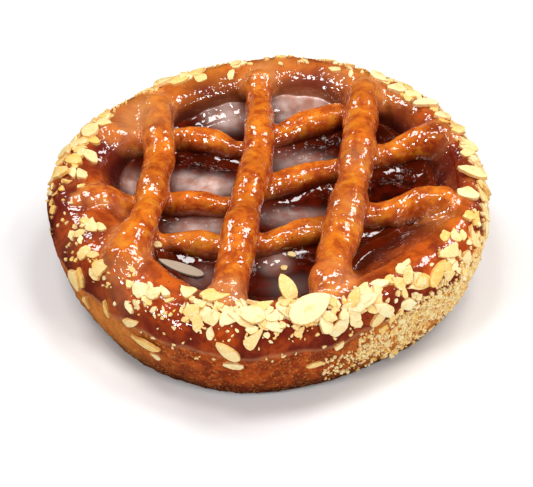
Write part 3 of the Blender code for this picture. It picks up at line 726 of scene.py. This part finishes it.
def colour_crust(made, rolls):
    """Stores what the crust's material reads, as shares from 0 to 1: glaze, milky veil with painted
    reflections, stains with painted shade, painted shade low down, upper sides for painted light, and so on.
    """
    points = vectors_of(made.data.vertices, "co")
    height = points[:, 2]
    flat_radius = round_radius(points[:, :2])
    field = Field(points[:, :2], rolls)
    from_rolls = field.from_rolls(points[:, 2:])[:, 0]
    from_case = field.from_case(points[:, 2:])[:, 0]
    fillet = blended(from_rolls, from_case, RIM_BLEND)[1]
    rim = smoothstep(from_rolls, *RIM_FROM_ROLLS)
    # Painted shade low down, under the rolls and down the well's wall, with some jam colour
    low = 1 - smoothstep(height - DARK_RISE_ON_CASE * rim, LOW_HEIGHT, HIGH_HEIGHT)
    low *= np.where(flat_radius < CREST_RADIUS, 1, LOW_OUTSIDE)
    pool = pool_share(points) * (flat_radius < WELL_LIP_RADIUS)
    # Upper sides: painted light there, and less of the painted shade low down
    top = smoothstep(vectors_of(made.data.vertex_normals, "vector")[:, 2], *TOP_LEANS)
    low *= 1 - LOW_LOST_ON_TOP * top * (1 - rim)
    # Milky glaze in the hollows and patches, with painted reflections at the front
    veil_and_reflection = VEIL_IN_HOLLOWS * fillet + patches(points, VEILS_AND_REFLECTIONS, VEIL_STRAY, seed=12)
    veil_and_reflection *= 1 - VEIL_LOST_LOW * low
    # Dark patches: jam stains and painted shade
    on_case = patches(points, CASE_STAINS_AND_SHADE, STAIN_STRAY, seed=14)
    on_rolls = patches(points, ROLL_STAINS_AND_SHADE, STAIN_STRAY, seed=14)
    # Pale gold patches, one of them a painted highlight
    pale = patches(points, PALE_PLACES, PALE_STRAY, seed=15)
    pale_side = patches(points, PALE_SIDES, PALE_STRAY, seed=15)
    glaze = glaze_share(points)
    shares = {
        "glaze": glaze,
        "veil_and_reflection": np.maximum(veil_and_reflection, POOL_ON_FEET * pool * low),
        "stain_and_shade": on_case * rim + on_rolls * (1 - rim),
        "pale": pale * glaze + pale_side * (1 - glaze),
        "rim": rim,
        "outer": smoothstep(flat_radius, *OUTER_RADII),
        "low": low * (1 - POOL_ON_FEET * pool),
        "top": top,
        "foot": 1 - smoothstep(height, 0, FOOT_HEIGHT),
    }
    for name, values in shares.items():
        store(made, name, np.clip(values, 0, 1))


def baked_case(material):
    """The crust's case as a turned mesh, fine where it shows, with its relief."""
    outline = case_outline()
    upper = evenly(outline[1:-2], CASE_STEP)
    floor = [(WELL_FLOOR_RADIUS * i / COARSE_RINGS, WELL_FLOOR_HEIGHT) for i in range(1, COARSE_RINGS)]
    base = [outline[-2] * (1 - i / COARSE_RINGS) for i in range(COARSE_RINGS)]
    rings = np.array([*floor, *upper, *base])
    points, faces = turned_grid(rings, (0, 0, WELL_FLOOR_HEIGHT), (0, 0, 0), CASE_TURNS)
    made = piece("baked_case", uneven(points), faces, material)
    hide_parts("pastry_case")
    raise_surface(made, LUMP_ON_CASE)
    return made


def turned_grid(rings, first, last, turns):
    """Points and faces of turned rings of (radius, height), closed by a point on the axis at each end."""
    angles = np.linspace(0, 2 * math.pi, turns, endpoint=False)
    around = np.column_stack([np.cos(angles), np.sin(angles), np.ones(turns)])
    grid = (rings[:, None, [0, 0, 1]] * around).reshape(-1, 3)
    here = np.arange(turns)
    beside = np.roll(here, -1)
    start = np.arange(len(rings) - 1)[:, None] * turns
    quads = np.stack([start + here, start + turns + here, start + turns + beside, start + beside], axis=-1)
    end = (len(rings) - 1) * turns
    top = np.column_stack([np.full(turns, len(grid)), here, beside])
    bottom = np.column_stack([np.full(turns, len(grid) + 1), end + beside, end + here])
    return np.concatenate([grid, [first, last]]), [quads.reshape(-1, 4), top, bottom]


def dough_lattice(rolls, material):
    """The six rolls as one glazed lattice, with fillets of glaze that run out on the rim."""
    axes = [np.arange(low, high, NET_STEP) for low, high in zip(NET_LOW, NET_HIGH)]
    plan = np.stack(np.meshgrid(axes[0], axes[1], indexing="ij"), axis=-1).reshape(-1, 2)
    field = Field(plan, rolls)
    heights = np.broadcast_to(axes[2], (len(plan), len(axes[2])))
    from_rolls, from_case = field.from_rolls(heights), field.from_case(heights)
    skin = blended(from_rolls, from_case + SKIN_SINK, RIM_BLEND)[0]
    fillet = np.maximum.reduce([skin, from_rolls - SKIN_REACH, -(from_case + SKIN_DEPTH)])
    body = np.minimum(from_rolls, fillet).reshape([len(axis) for axis in axes])
    points, quads = largest_part(*surface_net(body, np.array(NET_LOW), NET_STEP))
    made = piece("dough_lattice", points, [quads], material)
    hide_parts(*(name for name, _, _ in rolls))
    raise_surface(made, LUMP_ON_ROLLS)
    return made


def jam_surface(rolls, material):
    """The jam, creeping up where it meets dough, with the milky icing that has pooled on it."""
    top = [(JAM_EDGE_RADIUS + JAM_INTO_WALL) * i / JAM_RINGS for i in range(1, JAM_RINGS + 1)]
    rings = np.array([*((radius, JAM_HEIGHT) for radius in top), (WELL_FLOOR_RADIUS, JAM_FLOOR_HEIGHT)])
    even, faces = turned_grid(rings, (0, 0, JAM_HEIGHT), (0, 0, JAM_FLOOR_HEIGHT), JAM_TURNS)
    points = uneven(even)
    field = Field(points[:, :2], rolls)
    level = np.full((len(points), 1), JAM_HEIGHT)
    gaps = [field.from_case(level)[:, 0]]
    for gap, middle, radius in field.rolls:
        gaps.append(np.hypot(gap, JAM_HEIGHT - middle) - radius)
    from_case, *from_rolls = (np.exp(-np.maximum(gap, 0) / CREEP_REACH) for gap in gaps)
    creep = from_case + sum(from_rolls)
    pool = pool_share(points)
    highest = HIGHEST_CREEP + HIGHER_IN_POOLS * pool
    rise = np.minimum(CREEP_HEIGHT * creep * (1 + CREEP_OF_POOLS * pool), highest)
    rise = rise + POOL_HEIGHT * pool + JAM_LUMP_HEIGHT * smooth_noise(points, JAM_LUMP_SIZE, seed=5)
    points[:, 2] += rise * (points[:, 2] > (JAM_HEIGHT + JAM_FLOOR_HEIGHT) / 2)
    made = piece("jam_icing_and_reflection", points, faces, material)
    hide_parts("jam_filling")
    store(made, "pool", pool)
    store(made, "edge", np.minimum(EDGE_AT_CASE * from_case + sum(from_rolls), 1))
    return made


def pool_share(points):
    """How much milky icing covers the jam at some points. Its colour there is partly a painted reflection.
    """
    total = np.zeros(len(points))
    for x, y, reach_x, reach_y, strength in POOLS:
        gap = np.hypot((points[:, 0] / MM - x) / reach_x, (points[:, 1] / MM - y) / reach_y)
        total = np.maximum(total, strength * np.exp(-(gap**3)))
    return np.clip(total * (1 + POOL_STRAY * smooth_noise(points, POOL_STRAY_SIZE, seed=13)), 0, 1)


def surface_frame(angle, place):
    """A point on the case's outside, and its unit directions along the rim and outwards."""
    def at(turn, where):
        radius, height = outline_at(where)
        return uneven([(radius * math.cos(turn), radius * math.sin(turn), height)])[0]

    before, after = max(place - NUDGE, 0), min(place + NUDGE, 1)
    along = Vector(at(angle + NUDGE, place) - at(angle - NUDGE, place)).normalized()
    down = Vector(at(angle, after) - at(angle, before)).normalized()
    return Vector(at(angle, place)), along, down.cross(along).normalized()


def clear_of_rolls(place_on, size, turn, rolls):
    """Whether a flake of this size and turn stays clear of every roll, at its middle and at both ends."""
    point, along, outward = place_on
    length, width = size
    way = along * math.cos(turn) + outward.cross(along) * math.sin(turn)
    for reach in (-1, 0, 1):
        spot = np.array(point + way * reach * (length - width) / 2)
        room = min(np.min(np.linalg.norm(points - spot, axis=1) - radii) for _, points, radii in rolls)
        if room < width / 2 * ALMOND_CORNER_REACH + ALMOND_CLEARANCE:
            return False
    return True


def set_pieces(table, tilt):
    """(angle, place, size, turn, tilt) of each piece in a table of those set one by one."""
    return [
        (math.radians(angle), place, (length * MM, width * MM), math.radians(turn), (tilt, 0))
        for angle, place, length, width, turn in table
    ]


def along_arcs(arcs, lengths, rng):
    """(angle, place, size) of each piece, drawn at random over arcs of the rim."""
    for start, end, count, high, low in arcs:
        for _ in range(count):
            angle = math.radians(rng.uniform(start, end))
            place = rng.triangular(high, low, high + ALMOND_DENSEST * (low - high))
            length = rng.uniform(*lengths)
            yield angle, place, (length, length * rng.uniform(*ALMOND_WIDTH_SHARES))


def almond_plan(rolls):
    """(angle, place, size, turn, tilt) of each flake: those set one by one, and those drawn for the arcs."""
    rng = random.Random(ALMOND_SEED)
    lean = math.radians(ALMOND_TILT)
    plan = set_pieces(LARGE_SLICES, math.radians(LARGE_SLICE_TILT))
    for angle, place, size in along_arcs(ALMOND_ARCS, ALMOND_LENGTHS, rng):
        tilt = (rng.uniform(-lean, lean), rng.uniform(-lean, lean))
        turn = rng.uniform(0, math.pi)
        if clear_of_rolls(surface_frame(angle, place), size, turn, rolls):
            plan.append((angle, place, size, turn, tilt))
    return plan


def lean_matrix(frame_at, turn, tilt, lift):
    """Where a flake goes: on a frame of point, along and outward, raised, leant and turned."""
    point, along, outward = frame_at
    basis = Matrix((along, outward.cross(along), outward)).transposed().to_4x4()
    lean = Matrix.Rotation(tilt[0], 4, "X") @ Matrix.Rotation(tilt[1], 4, "Y")
    placed = Matrix.Translation(point) @ basis @ lean
    return placed @ Matrix.Translation((0, 0, lift)) @ Matrix.Rotation(turn, 4, "Z")


def lying_frame(point, normal, along):
    """Point, along and outward on a surface of any slope, with along kept as near as it can be."""
    across = normal.cross(along).normalized()
    return point, across.cross(normal), normal


def broken_outline(size, breaks, corners, rng):
    """The outline of an almond slice, pointed at one end and cut straight where it broke."""
    cuts = [(rng.uniform(0, 2 * math.pi), rng.uniform(*BREAK_OFFSETS)) for _ in range(breaks)]
    outline = []
    for i in range(corners):
        angle = 2 * math.pi * (i + rng.uniform(-CORNER_STRAY, CORNER_STRAY)) / corners
        reach = rng.uniform(*BROKEN_REACHES) if breaks else 1
        for facing, offset in cuts:
            toward = math.cos(angle - facing)
            if toward > 0:
                reach = min(reach, offset / toward)
        x, y = reach * math.cos(angle), reach * math.sin(angle) * abs(math.sin(angle / 2)) ** SLICE_POINT
        outline.append((x * size[0] / 2, y * SLICE_FULLNESS * size[1] / 2))
    return np.array(outline)


class Flakes:
    """Many thin almond pieces, gathered into one mesh."""

    def __init__(self, rings, corners, rng):
        self.rings, self.corners, self.rng = rings, corners, rng
        self.points, self.faces, self.tones, self.edges = [], [], [], []
        self.count = 0

    def add(self, placing, size, thickness, breaks, tone):
        """Adds one piece: its outline in a few rings, with a middle point above and below."""
        corners = self.corners
        outline = broken_outline(size, breaks, corners, self.rng)
        curl = self.rng.uniform(-1, 1) * SLICE_CURL
        layers = [
            np.column_stack([outline * scale, np.full(corners, -depth * thickness)])
            for scale, depth in self.rings
        ]
        points = np.concatenate([*layers, [(0, 0, -thickness), (0, 0, 0)]])
        points[:, 2] += curl * ((2 * points[:, 0] / size[0]) ** 2 - (curl > 0)) + abs(curl) / 2
        placed = points @ np.array(placing.to_3x3()).T + np.array(placing.translation)
        here = np.arange(corners)
        beside = np.roll(here, -1)
        start = np.arange(len(self.rings) - 1)[:, None] * corners
        ring = [start + here, start + beside, start + corners + beside, start + corners + here]
        quads = np.stack(ring, axis=-1)
        below, above = len(points) - 2, len(points) - 1
        last = (len(self.rings) - 1) * corners
        fans = np.concatenate([
            np.column_stack([beside, here, np.full(corners, below)]),
            np.column_stack([last + here, last + beside, np.full(corners, above)]),
        ])
        self.faces += [quads.reshape(-1, 4) + self.count, fans + self.count]
        self.points.append(placed)
        self.tones.append(np.full(len(points), tone))
        edge = [float(scale > EDGE_FROM) for scale, _ in self.rings]
        self.edges.append(np.concatenate([np.repeat(edge, corners), [0, 0]]))
        self.count += len(points)

    def made(self, name, material):
        flakes = piece(name, np.concatenate(self.points), self.faces, material)
        flakes.data.set_sharp_from_angle(angle=math.radians(SHARP_ANGLE))
        store(flakes, "tone", np.concatenate(self.tones))
        store(flakes, "edge", np.concatenate(self.edges))
        return flakes


def tone_at(angle, rng):
    """How golden an almond piece is: cream at the front, most golden at the back on the left."""
    front = max(0.0, math.cos(angle - FRONT_ANGLE))
    behind = max(0.0, math.cos(angle - GOLDEN_ANGLE))
    mean = TONE_MEAN - LESS_GOLDEN_IN_FRONT * front + MORE_GOLDEN_BEHIND * behind
    return min(max(rng.gauss(mean, TONE_SPREAD), 0), 1)


def almond_slices(rolls, ground, material):
    """The larger almond pieces of the rim, and those that lie in the lattice or lean on it."""
    rng = random.Random(ALMOND_SEED + 1)
    flakes = Flakes(FLAKE_RINGS, SLICE_CORNERS, rng)
    for angle, place, size, turn, tilt in [*almond_plan(rolls), *set_pieces(SMALL_PIECES, 0)]:
        point, along, outward = surface_frame(angle, place)
        hit = ground.below(point + outward * PLACING_HEIGHT, -outward)
        point = hit[0] if hit else point
        large = size[0] > WHOLE_SLICE_LENGTH
        lift = ALMOND_THICKNESS * (1 - ALMOND_SUNK) + LARGE_LIFT * large
        placing = lean_matrix((point, along, outward), turn, tilt, lift)
        breaks = rng.choice(LARGE_BREAKS) if large else rng.randint(*BREAKS)
        flakes.add(placing, size, ALMOND_THICKNESS, breaks, tone_at(angle, rng))
    for x, y, length, width, turn, tone in LYING_PIECES:
        point, normal = ground.below(Vector((x * MM, y * MM, 2 * CREST_HEIGHT)), Vector((0, 0, -1)))
        frame_at = lying_frame(point, normal, Vector((1, 0, 0)))
        placing = lean_matrix(frame_at, math.radians(turn), (0, 0), LYING_THICKNESS)
        flakes.add(placing, (length * MM, width * MM), LYING_THICKNESS, 1, tone)
    for middle, (length, width), turn, lean, tone in LEANING_PIECES:
        turned = Matrix.Rotation(math.radians(turn), 4, "Z") @ Matrix.Rotation(math.radians(-lean), 4, "Y")
        placing = Matrix.Translation([value * MM for value in middle]) @ turned
        flakes.add(placing, (length * MM, width * MM), LYING_THICKNESS, 0, tone)
    return flakes.made("almond_slices", material)


class Ground:
    """The surface that loose bits lie on."""

    def __init__(self, pieces):
        graph = bpy.context.evaluated_depsgraph_get()
        self.trees = [BVHTree.FromObject(made, graph) for made in pieces]

    def below(self, start, down):
        """The first point below a start, and the surface's direction outwards there."""
        hits = [tree.ray_cast(start, down) for tree in self.trees]
        hits = [hit for hit in hits if hit[0] is not None]
        return min(hits, key=lambda hit: hit[3])[:2] if hits else None

    def covered(self, start, down, cover):
        """Whether another ground lies above this one."""
        hit, other = self.below(start, down), cover.below(start, down)
        return other is not None and (hit is None or (other[0] - start).length < (hit[0] - start).length)


def scattered(kind, ground, cover, material):
    """Bits of almond scattered over arcs of the rim, lying on the ground beside the pieces that cover it."""
    name, arcs, lengths, thicknesses, corners, rings, seed = kind
    rng = random.Random(seed)
    lean = math.radians(BIT_TILT)
    flakes = Flakes(rings, corners, rng)
    for angle, place, size in along_arcs(arcs, lengths, rng):
        thickness = rng.uniform(*thicknesses)
        turn = rng.uniform(0, math.pi)
        tilt = (rng.uniform(-lean, lean), rng.uniform(-lean, lean))
        tone = tone_at(angle, rng)
        breaks = rng.randint(*BREAKS)
        point, along, outward = surface_frame(angle, place)
        above = point + outward * PLACING_HEIGHT
        hit = ground.below(above, -outward)
        if hit is None or ground.covered(above, -outward, cover):
            continue
        placing = lean_matrix(lying_frame(*hit, along), turn, tilt, thickness * (1 - ALMOND_SUNK))
        flakes.add(placing, size, thickness, breaks, tone)
    return flakes.made(name, material)


def colour(values):
    """A linear colour from red, green and blue of 0 to 255. A socket stays as it is."""
    if isinstance(values, bpy.types.NodeSocket):
        return values
    shares = [value / 255 for value in values]
    return (*(v / 12.92 if v <= 0.04045 else ((v + 0.055) / 1.055) ** 2.4 for v in shares), 1)


class Nodes:
    """Short ways to lay out a material's nodes."""

    def __init__(self, name):
        self.material = bpy.data.materials.new(name)
        self.material.use_nodes = True
        self.tree = self.material.node_tree
        self.surface = self.tree.nodes["Principled BSDF"]
        self.place = self.add("ShaderNodeTexCoord").outputs["Object"]

    def add(self, kind, inputs=None, **settings):
        """A new node with its settings, and with values or links on its inputs."""
        node = self.tree.nodes.new(kind)
        for name, value in settings.items():
            setattr(node, name, value)
        for name, value in (inputs or {}).items():
            self.put(node.inputs[name], value)
        return node

    def put(self, socket, value):
        if isinstance(value, bpy.types.NodeSocket):
            self.tree.links.new(value, socket)
        else:
            socket.default_value = value

    def set(self, **values):
        """Sets inputs of the surface itself, with underlines for the spaces in their names."""
        for name, value in values.items():
            self.put(self.surface.inputs[name.replace("_", " ")], value)

    def stored(self, name):
        """A number that store() has put on the mesh."""
        return self.add("ShaderNodeAttribute", attribute_name=name).outputs["Fac"]

    def noise(self, size, detail):
        """Noise from 0 to 1, with bumps about as wide as size."""
        inputs = {"Vector": self.place, "Scale": 1 / size, "Detail": detail, "Roughness": 0.5}
        return self.add("ShaderNodeTexNoise", inputs).outputs["Fac"]

    def ramp(self, value, low, high):
        """0 where a value is below low, 1 where it is above high."""
        inputs = {"Value": value, "From Min": low, "From Max": high}
        return self.add("ShaderNodeMapRange", inputs, interpolation_type="SMOOTHSTEP").outputs["Result"]

    def math(self, operation, a, b):
        return self.add("ShaderNodeMath", {0: a, 1: b}, operation=operation).outputs[0]

    def inverse(self, share):
        return self.math("SUBTRACT", 1.0, share)

    def mix(self, share, first, second):
        """A mix of two colours, which are the mix node's sockets 6 and 7 and come out at its output 2."""
        inputs = {"Factor": share, 6: colour(first), 7: colour(second)}
        return self.add("ShaderNodeMix", inputs, data_type="RGBA").outputs[2]

    def over(self, base, share, strength, tint):
        """A colour, covered by another one as far as a share says, and up to a strength."""
        return self.mix(self.math("MULTIPLY", share, strength), base, tint)

    def bump(self, height, distance):
        inputs = {"Height": height, "Distance": distance, "Strength": 1.0}
        return self.add("ShaderNodeBump", inputs).outputs["Normal"]


def crust_material():
    """Golden to red brown dough under clear wet glaze, milky in places, dry crumb below the glaze, and
    painted light and shade.
    """
    n = Nodes("glazed_crust")
    names = ("glaze", "veil_and_reflection", "stain_and_shade", "pale", "rim", "low", "outer", "foot", "top")
    glaze, veil_and_reflection, stain_and_shade, pale, rim, low, outer, foot, top = (n.stored(name) for name in names)
    broad, patch, spot, fleck = n.noise(0.007, 3), n.noise(0.0030, 2), n.noise(0.0013, 3), n.noise(0.0006, 2)
    dry = n.inverse(glaze)
    dough = n.mix(n.ramp(broad, 0.40, 0.60), (220, 102, 10), (192, 72, 4))
    # Painted shade on the rolls' flanks, and painted light on their upper sides
    dough = n.over(dough, n.inverse(top), 0.50, (146, 36, 2))
    dough = n.over(dough, top, 0.40, (232, 128, 24))
    dough = n.over(dough, n.ramp(patch, 0.48, 0.64), 0.62, (152, 38, 1))
    dough = n.over(dough, n.ramp(patch, 0.46, 0.32), 0.55, (240, 154, 38))
    dough = n.over(dough, n.ramp(spot, 0.50, 0.64), 0.35, (236, 136, 22))
    high = n.mix(n.ramp(broad, 0.38, 0.58), (202, 80, 7), (128, 28, 2))
    high = n.over(high, n.ramp(patch, 0.44, 0.62), 0.50, (108, 22, 1))
    side = n.mix(n.ramp(broad, 0.36, 0.60), (214, 84, 8), (134, 34, 2))
    side = n.over(side, n.ramp(spot, 0.48, 0.62), 0.50, (104, 22, 1))
    glazed = n.over(dough, rim, 0.75, high)
    glazed = n.over(glazed, outer, 0.90, side)
    # Pale gold baking, with one painted highlight on the front left cross roll
    glazed = n.over(glazed, pale, 0.75, n.mix(patch, (240, 156, 50), (206, 104, 22)))
    # Jam stains, and painted shade on the left rim and where the cross rolls pass under the long ones
    glazed = n.over(glazed, stain_and_shade, 0.90, (104, 10, 2))
    # Painted shade towards the jam, under the rolls and down the well's wall, with some jam colour
    glazed = n.over(glazed, low, 0.92, (66, 9, 3))
    glazed = n.mix(n.ramp(fleck, 0.66, 0.74), glazed, (84, 26, 6))
    # Milky glaze, and painted reflections at the front
    glazed = n.over(glazed, veil_and_reflection, 0.50, (216, 154, 104))
    crumb = n.mix(n.ramp(patch, 0.36, 0.64), (188, 78, 8), (138, 46, 3))
    crumb = n.over(crumb, n.ramp(spot, 0.50, 0.62), 0.50, (116, 38, 3))
    crumb = n.over(crumb, pale, 0.80, n.mix(patch, (240, 158, 62), (206, 112, 26)))
    crumb = n.over(crumb, foot, 0.90, (70, 20, 2))
    crumb = n.over(crumb, n.ramp(fleck, 0.56, 0.66), 0.42, (228, 158, 70))
    # The glaze is milky along its edge, where it is neither whole nor gone
    n.set(Base_Color=n.over(n.mix(glaze, crumb, glazed), glaze, dry, (214, 156, 112)))
    n.set(Roughness=0.60, Specular_IOR_Level=0.15, Coat_Weight=glaze, Coat_Roughness=0.05, Coat_IOR=1.75)
    n.set(Coat_Normal=n.bump(n.noise(0.0011, 0.6), 0.00022))
    n.set(Normal=n.bump(n.math("MULTIPLY", n.noise(0.0005, 3), dry), 0.00040))
    return n.material


def jam_material():
    """Dark red jam, wet, with milky icing where it has pooled; the icing's colour is partly a painted
    reflection.
    """
    n = Nodes("jam_icing_and_reflection")
    pool, edge = n.stored("pool"), n.stored("edge")
    patch = n.noise(0.0030, 3)
    jam = n.over(n.mix(n.ramp(patch, 0.35, 0.65), (86, 16, 5), (42, 8, 4)), edge, 0.80, (132, 44, 10))
    # Milky icing, with a painted reflection of light on the wet pools
    icing_and_reflection = n.mix(n.ramp(patch, 0.30, 0.70), (204, 154, 136), (242, 214, 204))
    icing_and_reflection = n.over(icing_and_reflection, edge, 0.50, (190, 104, 52))
    n.set(Base_Color=n.mix(pool, jam, icing_and_reflection), Roughness=0.06, Specular_IOR_Level=0.70)
    n.set(Normal=n.bump(n.noise(0.0016, 0.5), 0.00018))
    return n.material


def almond_material():
    """Cream almond, more golden on some pieces and at their edges, and greyish where it lies in glaze."""
    n = Nodes("almond")
    tone, edge = n.stored("tone"), n.stored("edge")
    grain, cloud = n.noise(0.0006, 3), n.noise(0.0022, 2)
    base = n.mix(tone, (250, 234, 178), (246, 200, 98))
    base = n.over(base, n.ramp(cloud, 0.50, 0.66), 0.45, (244, 192, 92))
    base = n.over(base, n.ramp(edge, 0.3, 1.0), 0.60, (222, 148, 58))
    base = n.over(base, n.ramp(grain, 0.52, 0.68), 0.50, (255, 248, 208))
    base = n.mix(n.ramp(tone, -0.1, -1.0), base, (196, 176, 152))
    n.set(Base_Color=base, Roughness=0.45)
    n.set(Normal=n.bump(grain, 0.00010))
    return n.material


def stage_and_camera():
    """A plain white floor, soft light from behind on both sides, small bright lamps, and the camera."""
    floor = bpy.data.meshes.new("floor")
    corners = [(x * FLOOR_REACH, y * FLOOR_REACH, 0) for x, y in ((-1, -1), (1, -1), (1, 1), (-1, 1))]
    floor.from_pydata(corners, [], [(0, 1, 2, 3)])
    ground = in_scene("floor", floor)
    ground.visible_glossy = False
    n = Nodes("floor")
    n.set(Base_Color=(0.9, 0.9, 0.9, 1), Roughness=0.9)
    floor.materials.append(n.material)
    ground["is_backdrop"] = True
    world = bpy.context.scene.world or bpy.data.worlds.new("world")
    bpy.context.scene.world = world
    world.use_nodes = True
    world.cycles_visibility.glossy = False
    world.node_tree.nodes["Background"].inputs["Color"].default_value = (1, 1, 1, 1)
    world.node_tree.nodes["Background"].inputs["Strength"].default_value = WORLD_STRENGTH
    for name, place, size, power in LAMPS:
        lamp = bpy.data.lights.new(name, "AREA")
        lamp.shape = "DISK"
        lamp.size, lamp.energy = size, power
        made = in_scene(name, lamp)
        made.location = place
        made.rotation_euler = (LAMP_TARGET - Vector(place)).to_track_quat("-Z", "Y").to_euler()
    camera = bpy.data.cameras.new("camera")
    camera.lens, camera.sensor_width = CAMERA_LENS, SENSOR_WIDTH
    made = in_scene("camera", camera)
    back = Vector((0, -math.cos(CAMERA_ELEVATION), math.sin(CAMERA_ELEVATION)))
    made.location = Vector(CAMERA_TARGET) + back * CAMERA_DISTANCE
    made.rotation_euler = (math.pi / 2 - CAMERA_ELEVATION, 0, 0)
    bpy.context.scene.camera = made
    bpy.context.scene.view_settings.view_transform = "Standard"


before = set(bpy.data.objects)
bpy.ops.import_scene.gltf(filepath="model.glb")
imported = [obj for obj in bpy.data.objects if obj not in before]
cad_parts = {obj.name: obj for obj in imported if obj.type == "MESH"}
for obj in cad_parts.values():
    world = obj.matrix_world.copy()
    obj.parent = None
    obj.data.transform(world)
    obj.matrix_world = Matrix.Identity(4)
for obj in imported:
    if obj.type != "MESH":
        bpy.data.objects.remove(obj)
cad_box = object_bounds()
stage_and_camera()
rolls = lattice_rolls()
crust = crust_material()
case = baked_case(crust)
lattice = dough_lattice(rolls, crust)
for made in (case, lattice):
    colour_crust(made, rolls)
jam = jam_surface(rolls, jam_material())
almond = almond_material()
ground = Ground([case, lattice, jam])
cover = Ground([almond_slices(rolls, ground, almond)])
for kind in LOOSE_BITS:
    scattered(kind, ground, cover, almond)
shown_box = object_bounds()
[[list(corner) for corner in box] for box in (cad_box, shown_box)]
